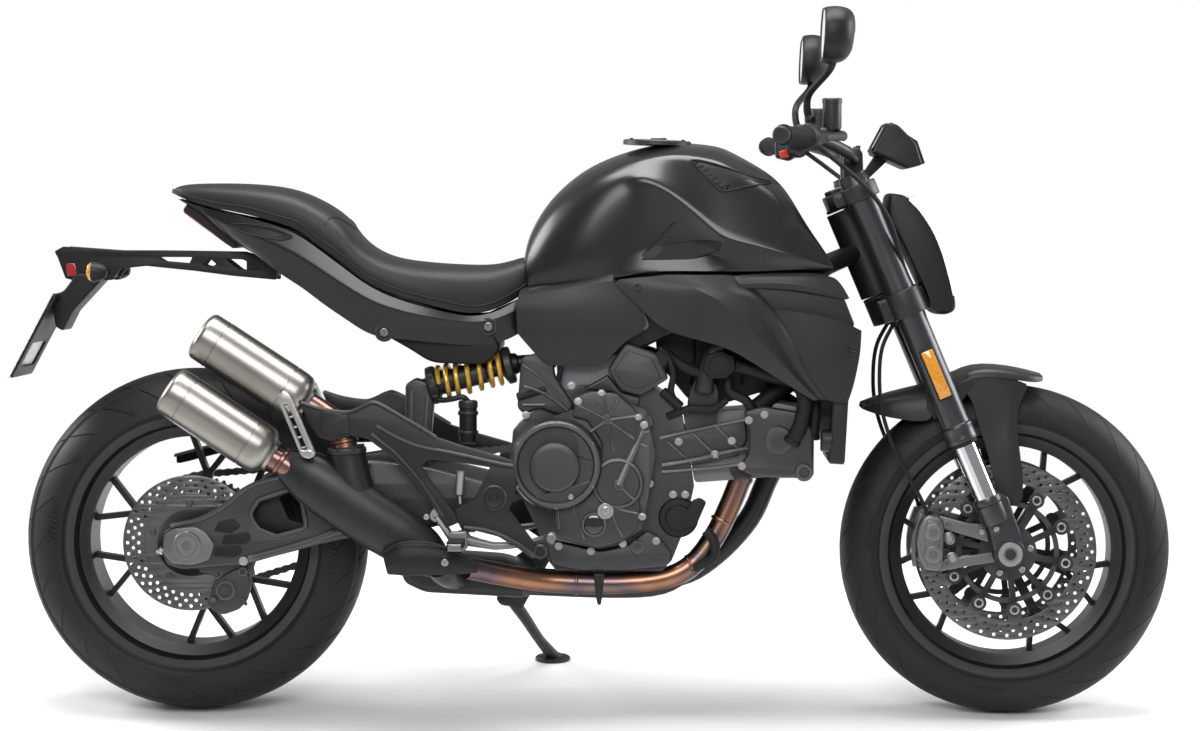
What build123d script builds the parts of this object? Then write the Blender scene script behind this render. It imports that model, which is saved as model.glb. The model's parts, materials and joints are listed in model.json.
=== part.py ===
from build123d import *

import os
from math import cos, hypot, radians, sin, sqrt, tan

# A naked standard motorcycle, parked on its side stand.
#
# Every piece is drawn on the upright motorcycle: x runs forward from the rear axle, y to the
# rider's left and z up from the floor under the wheels.  At the end one placement leans the
# whole machine to the left and moves its origin to the middle of its footprint.

# ---------------------------------------------------------------- driving dimensions, mm, degrees
WHEELBASE = 1474.0
RAKE = 22.9
TRAIL = 93.0
LEAN = 10.0

FRONT_TYRE_R = 299.6
FRONT_TYRE_HALF = 60.0
FRONT_CROWN_R = 60.0
REAR_TYRE_R = 312.5
REAR_TYRE_HALF = 88.0
REAR_CROWN_R = 90.0
TYRE_WALL = 9.0
BEAD_SEAT_R = 218.3
RIM_LIP_R = 230.0
RIM_WINDOW_R = 190.0
FRONT_RIM_HALF = 52.0
REAR_RIM_HALF = 78.0
LIP_WIDTH = 6.0

FRONT_AXLE_R = 12.5
FRONT_AXLE_BORE_R = 10.0
FRONT_AXLE_HALF = 112.0
REAR_AXLE_R = 12.5
REAR_AXLE_BORE_R = 8.5
REAR_AXLE_RIGHT = 141.0
REAR_AXLE_LEFT = 145.0
RUNNING = 0.05          # radial clearance of a running fit
SEAT_GAP = 0.3          # gap between pieces that bear on each other

LEG_Y = 95.0
OUTER_TUBE_R = 27.0
SLIDER_R = 21.5
STEM_R = 15.0
HEAD_TUBE_R = 34.0
SWING_CLEARANCE = 6.0

FRONT_DISC_R = 160.0
FRONT_DISC_INNER_R = 125.0
FRONT_DISC_Y = 62.0
REAR_DISC_R = 122.5
REAR_DISC_INNER_R = 84.0
REAR_DISC_Y = -92.0
DISC_THICKNESS = 4.5
BOBBIN_R = 106.0
BOBBINS = 10
BOBBIN_PIN_R = 8.0
TAB_INNER_R = 95.0

SPROCKET_TEETH = 43
FRONT_SPROCKET_TEETH = 15
CHAIN_PITCH = 15.875
CHAIN_Y = 103.0

BAR_R = 11.0
BAR_HALF = 370.0
MIRROR_INNER_Y = 318.0
MIRROR_OUTER_Y = 492.0

# ---------------------------------------------------------------- places worked out from them
FRONT_AXLE_Z = FRONT_TYRE_R - FRONT_CROWN_R + FRONT_CROWN_R / cos(radians(LEAN))
REAR_AXLE_Z = REAR_TYRE_R - REAR_CROWN_R + REAR_CROWN_R / cos(radians(LEAN))
STEM_U = (TRAIL - tan(radians(RAKE)) * FRONT_AXLE_Z) * cos(radians(RAKE))

# The fork's own frame: u forward across the legs, v to the left, w up along the legs,
# from the front axle.
FORK = Plane(
    origin=(WHEELBASE, 0, FRONT_AXLE_Z),
    x_dir=(cos(radians(RAKE)), 0, sin(radians(RAKE))),
    z_dir=(-sin(radians(RAKE)), 0, cos(radians(RAKE))),
)
FRONT_WHEEL = Plane(origin=(WHEELBASE, 0, FRONT_AXLE_Z), x_dir=(0, 1, 0), z_dir=(1, 0, 0))
REAR_WHEEL = Plane(origin=(0, 0, REAR_AXLE_Z), x_dir=(0, 1, 0), z_dir=(1, 0, 0))
FRONT_AXIS = Axis((WHEELBASE, 0, FRONT_AXLE_Z), (0, 1, 0))
REAR_AXIS = Axis((0, 0, REAR_AXLE_Z), (0, 1, 0))


# ---------------------------------------------------------------- shared shapes
def slab(outline, y_low, y_high, corner=0.0):
    """A side outline in x and z, solid from y_low to y_high, with rounded corners."""
    with BuildPart() as block:
        with BuildSketch(Plane.XZ.offset(-y_high)) as side:
            with BuildLine():
                Polyline(*outline, close=True)
            make_face()
            if corner:
                fillet(side.vertices(), corner)
        extrude(amount=y_high - y_low)
    return block.part


def both_sides(piece):
    """The piece and its mirror image across the middle of the motorcycle."""
    return [piece, mirror(piece, about=Plane.XZ)]


def tube(points, bend, outer_r, inner_r=0.0):
    """A round tube whose straight runs are joined by tangent arcs."""
    with BuildPart() as pipe:
        with BuildLine() as route:
            if len(points) > 2:
                FilletPolyline(*points, radius=bend)
            else:
                Line(*points)
        with BuildSketch(Plane(origin=route.line @ 0, z_dir=route.line % 0)):
            Circle(outer_r)
            if inner_r:
                Circle(inner_r, mode=Mode.SUBTRACT)
        sweep(path=route.line)
    return pipe.part


def rod(start, end, radius, inner_r=0.0):
    """A straight round rod or tube between two points."""
    start = Vector(start)
    end = Vector(end)
    with BuildPart() as bar:
        with BuildSketch(Plane(origin=start, z_dir=end - start)):
            Circle(radius)
            if inner_r:
                Circle(inner_r, mode=Mode.SUBTRACT)
        extrude(amount=(end - start).length)
    return bar.part


def cross_rod(x, z, y_low, y_high, radius, inner_r=0.0):
    """A round rod or ring that lies across the motorcycle."""
    return rod((x, y_low, z), (x, y_high, z), radius, inner_r)


def hull_section(x, foot, waist, shoulder, crown):
    """A closed body section at one station: a flat underside and a curved, mirrored top."""
    with BuildSketch(Plane.YZ.offset(x)) as section:
        with BuildLine():
            Spline(
                (-foot[0], foot[1]),
                (-waist[0], waist[1]),
                (-shoulder[0], shoulder[1]),
                (0, crown),
                (shoulder[0], shoulder[1]),
                (waist[0], waist[1]),
                (foot[0], foot[1]),
            )
            Line((foot[0], foot[1]), (-foot[0], foot[1]))
        make_face()
    return section.sketch


def around(radius, angle):
    """A point on a circle, in the plane of a wheel."""
    return (radius * cos(radians(angle)), radius * sin(radians(angle)))


# ---------------------------------------------------------------- wheels
def tyre(plane, axis, outer_r, half, crown_r, rim_half):
    """A hollow tyre carcass: round crown, side walls and two beads on the rim's seats."""
    bead = rim_half - LIP_WIDTH - SEAT_GAP
    seat = BEAD_SEAT_R + SEAT_GAP
    side_r = outer_r - crown_r + sqrt(max(crown_r**2 - half**2, 0))
    inner_half = half - TYRE_WALL
    lip = RIM_LIP_R + 1.0
    with BuildPart() as carcass:
        with BuildSketch(plane):
            with BuildLine():
                ThreePointArc((-half, side_r), (0, outer_r), (half, side_r))
                Polyline((half, side_r), (bead, lip), (bead, seat), (bead - 14, seat),
                         (bead - 14, seat + 10), (inner_half, side_r))
                ThreePointArc((inner_half, side_r), (0, outer_r - TYRE_WALL), (-inner_half, side_r))
                Polyline((-inner_half, side_r), (14 - bead, seat + 10), (14 - bead, seat),
                         (-bead, seat), (-bead, lip), (-half, side_r))
            make_face()
        revolve(axis=axis)
    return carcass.part


def rim(plane, axis, half):
    """A rim with two lips, bead seats and a dropped centre."""
    seat_half = half - LIP_WIDTH
    well_half = half * 0.55
    with BuildPart() as ring:
        with BuildSketch(plane):
            with BuildLine():
                Polyline(
                    (-half, RIM_LIP_R), (-seat_half, RIM_LIP_R), (-seat_half, BEAD_SEAT_R),
                    (-well_half - 8, BEAD_SEAT_R - 2), (-well_half, RIM_WINDOW_R + 9),
                    (well_half, RIM_WINDOW_R + 9), (well_half + 8, BEAD_SEAT_R - 2),
                    (seat_half, BEAD_SEAT_R), (seat_half, RIM_LIP_R), (half, RIM_LIP_R),
                    (half, BEAD_SEAT_R - 3), (well_half + 12, BEAD_SEAT_R - 9),
                    (well_half + 4, RIM_WINDOW_R), (-well_half - 4, RIM_WINDOW_R),
                    (-well_half - 12, BEAD_SEAT_R - 9), (-half, BEAD_SEAT_R - 3),
                    close=True,
                )
            make_face()
        revolve(axis=axis)
    return ring.part


def spokes(centre, first_angle, hub_r, half_depth):
    """Three groups of four slender arms: each group is a pair of Y-shaped spokes."""
    fork_r = 118.0
    reach = RIM_WINDOW_R + 3
    with BuildPart() as star:
        with BuildSketch(Plane(origin=centre, x_dir=(1, 0, 0), z_dir=(0, -1, 0))):
            for group in range(3):
                middle = first_angle + 120 * group
                for side in (-1, 1):
                    split_at = around(fork_r, middle + side * 22)
                    with BuildLine():
                        Line(around(hub_r - 8, middle + side * 28), split_at)
                    trace(line_width=17)
                    for arm in (10, 34):
                        with BuildLine():
                            Line(split_at, around(reach, middle + side * arm))
                        trace(line_width=10)
                    with Locations(split_at):
                        Circle(9)
        extrude(amount=half_depth, both=True)
    return star.part


CARRIER_THICKNESS = 7.0
FRONT_HUB_HALF = FRONT_DISC_Y - CARRIER_THICKNESS / 2 - SEAT_GAP
FRONT_HUB_R = 36.0
with BuildPart() as front_wheel:
    add(rim(FRONT_WHEEL, FRONT_AXIS, FRONT_RIM_HALF))
    add(spokes((WHEELBASE, 0, FRONT_AXLE_Z), 78, FRONT_HUB_R, 9))
    add(cross_rod(WHEELBASE, FRONT_AXLE_Z, -FRONT_HUB_HALF, FRONT_HUB_HALF, FRONT_HUB_R))
    add(
        cross_rod(WHEELBASE, FRONT_AXLE_Z, -FRONT_HUB_HALF, FRONT_HUB_HALF, FRONT_AXLE_R + RUNNING),
        mode=Mode.SUBTRACT,
    )

with BuildPart() as front_tyre:
    add(tyre(FRONT_WHEEL, FRONT_AXIS, FRONT_TYRE_R, FRONT_TYRE_HALF, FRONT_CROWN_R, FRONT_RIM_HALF))

with BuildPart() as front_discs:
    for side in (-1, 1):
        face = Plane(origin=(WHEELBASE, side * FRONT_DISC_Y, FRONT_AXLE_Z), x_dir=(1, 0, 0), z_dir=(0, -1, 0))
        with BuildSketch(face):
            Circle(FRONT_DISC_R)
            Circle(FRONT_DISC_INNER_R, mode=Mode.SUBTRACT)
            with PolarLocations((TAB_INNER_R + FRONT_DISC_INNER_R) / 2 + 1, BOBBINS, start_angle=-11):
                Rectangle(FRONT_DISC_INNER_R - TAB_INNER_R + 2, 22)
            with PolarLocations(BOBBIN_R, BOBBINS, start_angle=-11):
                Circle(BOBBIN_PIN_R, mode=Mode.SUBTRACT)
        extrude(amount=DISC_THICKNESS / 2, both=True)

CARRIER_RING_R = TAB_INNER_R - 7
CARRIER_ARM_R = TAB_INNER_R - SEAT_GAP
with BuildPart() as disc_carriers:
    for side in (-1, 1):
        face = Plane(origin=(WHEELBASE, side * FRONT_DISC_Y, FRONT_AXLE_Z), x_dir=(1, 0, 0), z_dir=(0, -1, 0))
        with BuildSketch(face):
            Circle(CARRIER_RING_R + 4.5)
            Circle(CARRIER_RING_R - 4.5, mode=Mode.SUBTRACT)
            Circle(52)
            with PolarLocations((45 + CARRIER_ARM_R) / 2, BOBBINS, start_angle=-11):
                Rectangle(CARRIER_ARM_R - 45, 11)
            Circle(FRONT_AXLE_R + 12, mode=Mode.SUBTRACT)
        extrude(amount=CARRIER_THICKNESS / 2, both=True)
        with BuildSketch(face):
            with PolarLocations(BOBBIN_R, BOBBINS, start_angle=-11):
                Circle(BOBBIN_PIN_R - SEAT_GAP)
        extrude(amount=CARRIER_THICKNESS / 2 + 1.5, both=True)
        for outward in (-1, 1):
            rim_face = face.offset(outward * (CARRIER_THICKNESS / 2 + 0.75))
            with BuildSketch(rim_face):
                with PolarLocations(BOBBIN_R, BOBBINS, start_angle=-11):
                    Circle(BOBBIN_PIN_R + 6)
            extrude(amount=0.75, both=True)

REAR_HUB_R = 48.0
REAR_HUB_HALF = 80.0
with BuildPart() as rear_wheel:
    add(rim(REAR_WHEEL, REAR_AXIS, REAR_RIM_HALF))
    add(spokes((0, 0, REAR_AXLE_Z), 59, REAR_HUB_R, 12))
    add(cross_rod(0, REAR_AXLE_Z, -REAR_HUB_HALF, REAR_HUB_HALF, REAR_HUB_R))
    add(
        cross_rod(0, REAR_AXLE_Z, -REAR_HUB_HALF, REAR_HUB_HALF, REAR_AXLE_R + RUNNING),
        mode=Mode.SUBTRACT,
    )

with BuildPart() as rear_tyre:
    add(tyre(REAR_WHEEL, REAR_AXIS, REAR_TYRE_R, REAR_TYRE_HALF, REAR_CROWN_R, REAR_RIM_HALF))

with BuildPart() as rear_disc:
    with BuildSketch(Plane(origin=(0, REAR_DISC_Y, REAR_AXLE_Z), x_dir=(1, 0, 0), z_dir=(0, -1, 0))):
        Circle(REAR_DISC_R)
        Circle(60, mode=Mode.SUBTRACT)
        with PolarLocations(72, 5):
            Circle(5, mode=Mode.SUBTRACT)
    extrude(amount=DISC_THICKNESS / 2, both=True)
    add(
        cross_rod(0, REAR_AXLE_Z, REAR_DISC_Y + DISC_THICKNESS / 2, -REAR_HUB_HALF, REAR_DISC_INNER_R - 6,
                  REAR_HUB_R - 10)
    )

SPROCKET_PITCH_R = CHAIN_PITCH / (2 * sin(radians(180 / SPROCKET_TEETH)))
SPROCKET_THICKNESS = 5.0
ROLLER_R = 5.08
with BuildPart() as rear_sprocket:
    with BuildSketch(Plane(origin=(0, CHAIN_Y, REAR_AXLE_Z), x_dir=(1, 0, 0), z_dir=(0, -1, 0))):
        Circle(SPROCKET_PITCH_R - ROLLER_R - 1.5)
        Circle(40, mode=Mode.SUBTRACT)
        with PolarLocations(SPROCKET_PITCH_R - 26, 6):
            Circle(11, mode=Mode.SUBTRACT)
    extrude(amount=SPROCKET_THICKNESS / 2, both=True)
    add(cross_rod(0, REAR_AXLE_Z, REAR_HUB_HALF, CHAIN_Y - SPROCKET_THICKNESS / 2, 58, 30))

with BuildPart() as front_axle:
    add(cross_rod(WHEELBASE, FRONT_AXLE_Z, -FRONT_AXLE_HALF, FRONT_AXLE_HALF, FRONT_AXLE_R, FRONT_AXLE_BORE_R))
    add(cross_rod(WHEELBASE, FRONT_AXLE_Z, -FRONT_AXLE_HALF, -FRONT_AXLE_HALF + 3, 21, FRONT_AXLE_BORE_R))

with BuildPart() as rear_axle:
    add(cross_rod(0, REAR_AXLE_Z, -REAR_AXLE_RIGHT, REAR_AXLE_LEFT, REAR_AXLE_R, REAR_AXLE_BORE_R))
    add(cross_rod(0, REAR_AXLE_Z, -REAR_AXLE_RIGHT, 7 - REAR_AXLE_RIGHT, 20, REAR_AXLE_BORE_R))
    add(cross_rod(0, REAR_AXLE_Z, REAR_AXLE_LEFT, REAR_AXLE_LEFT - 7, 20, REAR_AXLE_BORE_R))

# ---------------------------------------------------------------- swingarm, chain and rear brake
PIVOT = (548.0, 400.0)
PIVOT_R = 20.0
ARM_RIGHT = (-132.0, -108.0)
ARM_LEFT = (116.0, 136.0)
ARM_OUTLINE = [
    (-46, 300), (-44, 342), (0, 357), (60, 380), (100, 415), (150, 435), (230, 452), (330, 470),
    (430, 455), (530, 428), (572, 400), (548, 372), (480, 352), (400, 340), (260, 320),
    (150, 292), (100, 276), (-10, 268), (-38, 278),
]
ARM_WINDOW = [(113, 370), (128, 395), (190, 413), (213, 348), (160, 332), (125, 345)]
with BuildPart() as swingarm:
    for low, high in (ARM_RIGHT, ARM_LEFT):
        add(slab(ARM_OUTLINE, low, high, 6))
        add(slab(ARM_WINDOW, low - 1, high + 1, 5), mode=Mode.SUBTRACT)
    add(slab([(338, 350), (338, 432), (412, 424), (412, 352)], ARM_RIGHT[1], ARM_LEFT[0], 12))
    add(slab([(385, 410), (425, 410), (436.7, 570), (427.7, 604), (392, 606)], -68, -32))
    add(
        cross_rod(0, REAR_AXLE_Z, ARM_RIGHT[0] - 1, ARM_LEFT[1] + 1, REAR_AXLE_R + SEAT_GAP),
        mode=Mode.SUBTRACT,
    )
    add(
        cross_rod(PIVOT[0], PIVOT[1], ARM_RIGHT[0] - 1, ARM_LEFT[1] + 1, 10 + SEAT_GAP),
        mode=Mode.SUBTRACT,
    )

SHOCK_Y = -50.0
SHOCK_REAR = (405.0, SHOCK_Y, 590.0)
SHOCK_FRONT = (592.0, SHOCK_Y, 640.0)
SPRING_R = 34.0
SPRING_WIRE_R = 4.5
SPRING_TURNS = 6
with BuildPart() as shock_absorber:
    add(rod((430, SHOCK_Y, 596.7), (588, SHOCK_Y, 639), 20))
    add(rod((584, SHOCK_Y, 641), (658.3, SHOCK_Y, 641), 12))
    add(rod((430, SHOCK_Y, 596.7), (447, SHOCK_Y, 601.2), SPRING_R))
    add(rod((566, SHOCK_Y, 633), (578, SHOCK_Y, 636.3), SPRING_R))
    add(rod((500, SHOCK_Y - 22, 496), (500, SHOCK_Y - 22, 572), 16))
    add(tube([(500, SHOCK_Y - 22, 566), (470, SHOCK_Y - 22, 558), (437, SHOCK_Y - 16, 566)], [30], 5))

SHOCK_AXIS = (Vector(*SHOCK_FRONT) - Vector(*SHOCK_REAR)).normalized()
SPRING_SEATS = (Vector(447, SHOCK_Y, 601.2), Vector(566, SHOCK_Y, 633))
SPRING_LENGTH = (SPRING_SEATS[1] - SPRING_SEATS[0]).length - 2 * (SPRING_WIRE_R + SEAT_GAP)
with BuildPart() as shock_spring:
    with BuildLine():
        coil = Helix(
            pitch=SPRING_LENGTH / SPRING_TURNS, height=SPRING_LENGTH, radius=SPRING_R - SPRING_WIRE_R,
            center=SPRING_SEATS[0] + SHOCK_AXIS * (SPRING_WIRE_R + SEAT_GAP), direction=SHOCK_AXIS,
        )
    with BuildSketch(Plane(origin=coil @ 0, z_dir=coil % 0)):
        Circle(SPRING_WIRE_R)
    sweep(is_frenet=True)

FRONT_SPROCKET = (640.0, 440.0)
FRONT_SPROCKET_R = CHAIN_PITCH / (2 * sin(radians(180 / FRONT_SPROCKET_TEETH)))


def chain_band(half_height, y_low, y_high):
    """A closed band along the chain's pitch line, round both sprockets."""
    with BuildPart() as band:
        with BuildSketch(Plane.XZ.offset(-y_high)):
            for grow, mode in ((half_height, Mode.ADD), (-half_height, Mode.SUBTRACT)):
                with BuildSketch(Plane.XY, mode=Mode.PRIVATE) as loop:
                    with Locations((0, REAR_AXLE_Z)):
                        Circle(SPROCKET_PITCH_R + grow)
                    with Locations(FRONT_SPROCKET):
                        Circle(FRONT_SPROCKET_R + grow)
                    make_hull()
                add(loop.sketch_local, mode=mode)
        extrude(amount=y_high - y_low)
    return band.part


with BuildPart() as chain:
    add(chain_band(5, CHAIN_Y - 4, CHAIN_Y + 4))
    for low, high in ((4, 8.5), (-8.5, -4)):
        add(chain_band(7.5, CHAIN_Y + low, CHAIN_Y + high))

with BuildPart() as chain_guard:
    add(slab([(-60, 452), (-58, 458), (60, 490), (330, 500), (332, 492), (60, 482)], 88, 122))

with BuildPart() as rear_caliper:
    add(slab([(32, 205), (62, 186), (104, 212), (112, 258), (84, 272), (44, 248)], -112, -70, 5))
    add(
        cross_rod(0, REAR_AXLE_Z, REAR_DISC_Y - 7, REAR_DISC_Y + 7, REAR_DISC_R + 5),
        mode=Mode.SUBTRACT,
    )
    add(slab([(20, 262), (84, 262), (118, 258), (112, 296), (20, 350), (-24, 338)], -107.7, -100, 4))
    add(cross_rod(0, REAR_AXLE_Z, -108, -99, REAR_AXLE_R + SEAT_GAP), mode=Mode.SUBTRACT)
    add(cross_rod(66, 231, -118, -112, 17))

# ---------------------------------------------------------------- engine
CASE_HALF = 92.0
BARREL_HALF = 78.0
HEAD_HALF = 104.0
with BuildPart() as engine_crankcase:
    add(
        slab(
            [(600, 395), (575, 430), (582, 520), (640, 572), (700, 600), (820, 606), (884, 560),
             (908, 420), (890, 340), (868, 285), (850, 266), (660, 266), (645, 285), (628, 335)],
            -CASE_HALF, CASE_HALF, 10,
        )
    )
    add(
        slab(
            [(655, 325), (655, 380), (600, 420), (600, 500), (660, 548), (760, 580),
             (822, 560), (838, 480), (825, 400), (815, 345), (770, 316), (735, 310)],
            -118, -CASE_HALF, 8,
        )
    )
    with BuildSketch(Plane(origin=(772, -117, 512), x_dir=(1, 0, 0), z_dir=(0, -1, 0))):
        with PolarLocations(32, 7, start_angle=-20, angular_range=200):
            Rectangle(48, 4)
    extrude(amount=5)
    add(slab([(704, 335), (700, 540), (760, 580), (822, 560), (838, 480), (825, 400), (770, 316)],
             CASE_HALF, 112, 8))

with BuildPart() as engine_cylinders:
    add(slab([(909, 425), (888, 548), (1046, 560), (1052, 436)], -BARREL_HALF, BARREL_HALF, 8))
    add(slab([(1052.3, 436), (1046.3, 572), (1108, 560), (1122, 520), (1122, 436)], -HEAD_HALF, HEAD_HALF, 10))
    add(slab([(664, 584), (655, 700), (812, 700), (812, 606.3), (700, 600.5)], -BARREL_HALF, BARREL_HALF, 8))
    add(slab([(640, 700 + SEAT_GAP), (636, 764), (800, 780), (830, 700 + SEAT_GAP)], -HEAD_HALF, HEAD_HALF, 10))

CLUTCH = (661.0, 461.0)
CLUTCH_R = 79.0
CLUTCH_BOSSES = 8
CLUTCH_FACE = Plane(origin=(CLUTCH[0], -150, CLUTCH[1]), x_dir=(1, 0, 0), z_dir=(0, -1, 0))
with BuildPart() as engine_side_covers:
    add(cross_rod(CLUTCH[0], CLUTCH[1], -150, -118.2, CLUTCH_R))
    with BuildSketch(CLUTCH_FACE):
        Circle(CLUTCH_R - 10)
        Circle(CLUTCH_R - 34, mode=Mode.SUBTRACT)
    extrude(amount=-5, mode=Mode.SUBTRACT)
    with BuildSketch(CLUTCH_FACE.offset(-5)):
        with PolarLocations(CLUTCH_R - 22, CLUTCH_BOSSES, start_angle=10):
            Rectangle(26, 4)
    extrude(amount=4)
    with BuildSketch(CLUTCH_FACE.offset(-14)):
        with PolarLocations(CLUTCH_R - 1, CLUTCH_BOSSES, start_angle=25):
            Circle(8)
    extrude(amount=-17.5)
    add(cross_rod(CLUTCH[0], CLUTCH[1], -157, -150, 41))
    add(cross_rod(775, 424, -132, -118.2, 40))
    add(cross_rod(878, 363, -118, -92.2, 33))
    add(slab([(752, 628), (782, 676), (840, 657), (860, 613), (811, 584)], -104, -92.3, 6))
    add(cross_rod(690, 445, 112.2, 146, 84))
    add(slab([(590, 385), (580, 470), (610, 505), (640, 380)], 112.5, 122, 6))

# ---------------------------------------------------------------- frame
def on_stem(w):
    """A point on the steering axis, a distance up the fork."""
    return FORK.from_local_coords((STEM_U, 0, w))


BOTTOM_YOKE_W = (464.0, 512.0)
TOP_YOKE_W = (688.0, 716.0)
HEAD_TUBE_W = (BOTTOM_YOKE_W[1] + SWING_CLEARANCE, TOP_YOKE_W[0] - SWING_CLEARANCE)
TANK_FLOOR_Z = 862.0
TANK_REST_X = 880.0
with BuildPart() as main_frame:
    add(rod(on_stem(HEAD_TUBE_W[0]), on_stem(HEAD_TUBE_W[1]), HEAD_TUBE_R))
    for beam in both_sides(
        tube([(1197, 20, 838), (1110, 92, 800), (990, 96, 735), (930, 96, 640), (925, 93, 590)],
             [30, 60, 50], 17)
    ):
        add(beam)
    for beam in both_sides(tube([(1120, 80, 806), (1000, 90, 790), (826, 90, 800)], [80], 13)):
        add(beam)
    for plate in both_sides(
        slab([(892, 505), (948, 510), (950, 590), (938, 622), (914, 622), (900, 590)],
             BARREL_HALF + SEAT_GAP, BARREL_HALF + 14, 5)
    ):
        add(plate)
    for side in (-1, 1):
        add(rod((TANK_REST_X, side * 90, 800), (TANK_REST_X, side * 90, TANK_FLOOR_Z - SEAT_GAP), 12))
    add(rod(on_stem(HEAD_TUBE_W[0] - 1), on_stem(HEAD_TUBE_W[1] + 1), STEM_R + RUNNING), mode=Mode.SUBTRACT)

with BuildPart() as rear_subframe:
    for plate in both_sides(
        slab(
            [(638.4, 720), (560, 700), (527, 690), (500, 688), (345, 672), (300, 694), (240, 738),
             (160, 783), (84, 840), (80.4, 850), (70.5, 895), (100, 903), (180, 883.7), (262, 849.7),
             (320, 805.7), (400, 761.7), (500, 737.7), (575, 749.7), (636.5, 750)],
            52, 82, 5,
        )
    ):
        add(plate)
    add(slab([(150, 800), (150, 815), (560, 712), (560, 700), (300, 712)], -52, 52))

# ---------------------------------------------------------------- tank and bodywork
TANK_STATIONS = [
    (600, (50, 775), (80, 790), (60, 815), 833),
    (645, (85, 766), (118, 815), (88, 890), 936),
    (727, (102, 778), (140, 850), (108, 950), 1000),
    (830, (122, 795), (160, 870), (124, 980), 1034),
    (922, (138, 800), (174, 868), (136, 978), 1037),
    (1003, (144, 802), (172, 858), (128, 952), 1006),
    (1065, (146, 804), (166, 845), (118, 915), 967),
    (1120, (148, 806), (160, 832), (112, 868), 900),
    (1160, (148, 806), (152, 812), (130, 820), 830),
]
CAP_X = 840.0
CAP_R = 50.0
CAP_TOP = 1037.0
with BuildPart() as fuel_tank:
    for station in TANK_STATIONS:
        add(hull_section(*station))
    loft(ruled=True)
    add(slab([(640, 700), (640, 800), (760, TANK_FLOOR_Z), (1180, TANK_FLOOR_Z), (1180, 700)], -112, 112),
        mode=Mode.SUBTRACT)
    with BuildSketch(Plane(origin=on_stem(380), x_dir=FORK.x_dir, z_dir=FORK.z_dir)):
        Circle(hypot(STEM_U, LEG_Y) + OUTER_TUBE_R + SWING_CLEARANCE)
        with Locations((-100 - 58, 0)):
            Rectangle(200, 400, mode=Mode.SUBTRACT)
    extrude(amount=450, mode=Mode.SUBTRACT)
    with Locations((CAP_X, 0, CAP_TOP - 10)):
        Cylinder(CAP_R + 0.5, 60, align=(Align.CENTER, Align.CENTER, Align.MIN), mode=Mode.SUBTRACT)

with BuildPart() as fuel_cap:
    with Locations((CAP_X, 0, CAP_TOP - 10 + SEAT_GAP)):
        Cylinder(CAP_R, 10 - SEAT_GAP, align=(Align.CENTER, Align.CENTER, Align.MIN))
    with Locations((CAP_X, 0, CAP_TOP - 2)):
        Cylinder(34, 2, align=(Align.CENTER, Align.CENTER, Align.MIN), mode=Mode.SUBTRACT)

with BuildPart() as airbox_covers:
    for panel in both_sides(
        slab(
            [(603, 752), (690, 768), (758, 778), (800, 750), (834, 705), (800, 690), (770, 670),
             (745, 645), (700, 640), (640, 646), (592, 700)],
            HEAD_HALF + SEAT_GAP, 130, 6,
        )
    ):
        add(panel)

SEAT_STATIONS = [
    (-40, (62, 942), (80, 948), (60, 958), 962),
    (60, (84, 916), (104, 935), (74, 958), 964),
    (180, (96, 884), (118, 915), (84, 948), 955),
    (262, (100, 850), (124, 880), (88, 905), 916),
    (320, (104, 806), (126, 825), (90, 842), 847),
    (400, (108, 762), (128, 790), (92, 816), 822),
    (500, (98, 738), (118, 780), (84, 812), 817),
    (575, (72, 750), (92, 790), (66, 815), 822),
]
with BuildPart() as seat:
    for station in SEAT_STATIONS:
        add(hull_section(*station))
    loft(ruled=True)

with BuildPart() as tail_light:
    add(slab([(-20, 914), (-10, 926), (70, 896), (80, 850), (74, 845)], -60, 60, 3))

# ---------------------------------------------------------------- plate holder
with BuildPart() as plate_bracket:
    for rail in both_sides(
        slab([(149.7, 816), (88, 838), (-140, 840), (-240, 848), (-255, 838), (-235, 788), (-150, 786),
              (-135, 812), (0, 803), (120, 785), (149.7, 792)], 26, 34, 2)
    ):
        add(rail)
    add(slab([(-140, 836), (-238, 844), (-250, 835), (-236, 792), (-150, 792)], -30, 30))
    add(slab([(-162, 796), (-215, 798), (-238, 767), (-246.9, 763.6), (-257.5, 743.6), (-252, 705), (-240, 696)],
             -40, 40))
    add(slab([(96, 800), (96, 828), (149.7, 811), (149.7, 796)], -30, 30))

PLATE_TOP = (-250.0, 765.0)
PLATE_LENGTH = 173.0
PLATE_WIDTH = 180.0
PLATE_TILT = 28.0
with BuildPart() as number_plate:
    tilt = radians(PLATE_TILT)
    low_edge = (PLATE_TOP[0] - PLATE_LENGTH * sin(tilt), PLATE_TOP[1] - PLATE_LENGTH * cos(tilt))
    add(
        slab(
            [PLATE_TOP, low_edge, (low_edge[0] + 3 * cos(tilt), low_edge[1] - 3 * sin(tilt)),
             (PLATE_TOP[0] + 3 * cos(tilt), PLATE_TOP[1] - 3 * sin(tilt))],
            -PLATE_WIDTH / 2, PLATE_WIDTH / 2,
        )
    )

with BuildPart() as rear_indicators:
    for side in (-1, 1):
        add(rod((-163, side * 34.2, 803), (-163, side * 97.8, 803), 7))
        with Locations((-163, side * 118, 803)):
            Sphere(20)

# ---------------------------------------------------------------- radiator and its shrouds
RADIATOR_HALF = 145.0
with BuildPart() as radiator:
    add(slab([(1188, 684), (1146, 690), (1115.2, 560), (1130, 478), (1144, 462), (1176, 464)],
             -RADIATOR_HALF, RADIATOR_HALF, 6))

SHROUD_OUTLINE = [
    (805, 796), (1030, 800), (1150, 802), (1178, 760), (1200, 712), (1172, 566), (1135, 562),
    (1090, 587), (1000, 648), (970, 668), (890, 688), (860, 700), (792, 762),
]
with BuildPart() as radiator_shrouds:
    for cover in both_sides(slab(SHROUD_OUTLINE, RADIATOR_HALF + SEAT_GAP, 172, 8)):
        add(cover)

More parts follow.
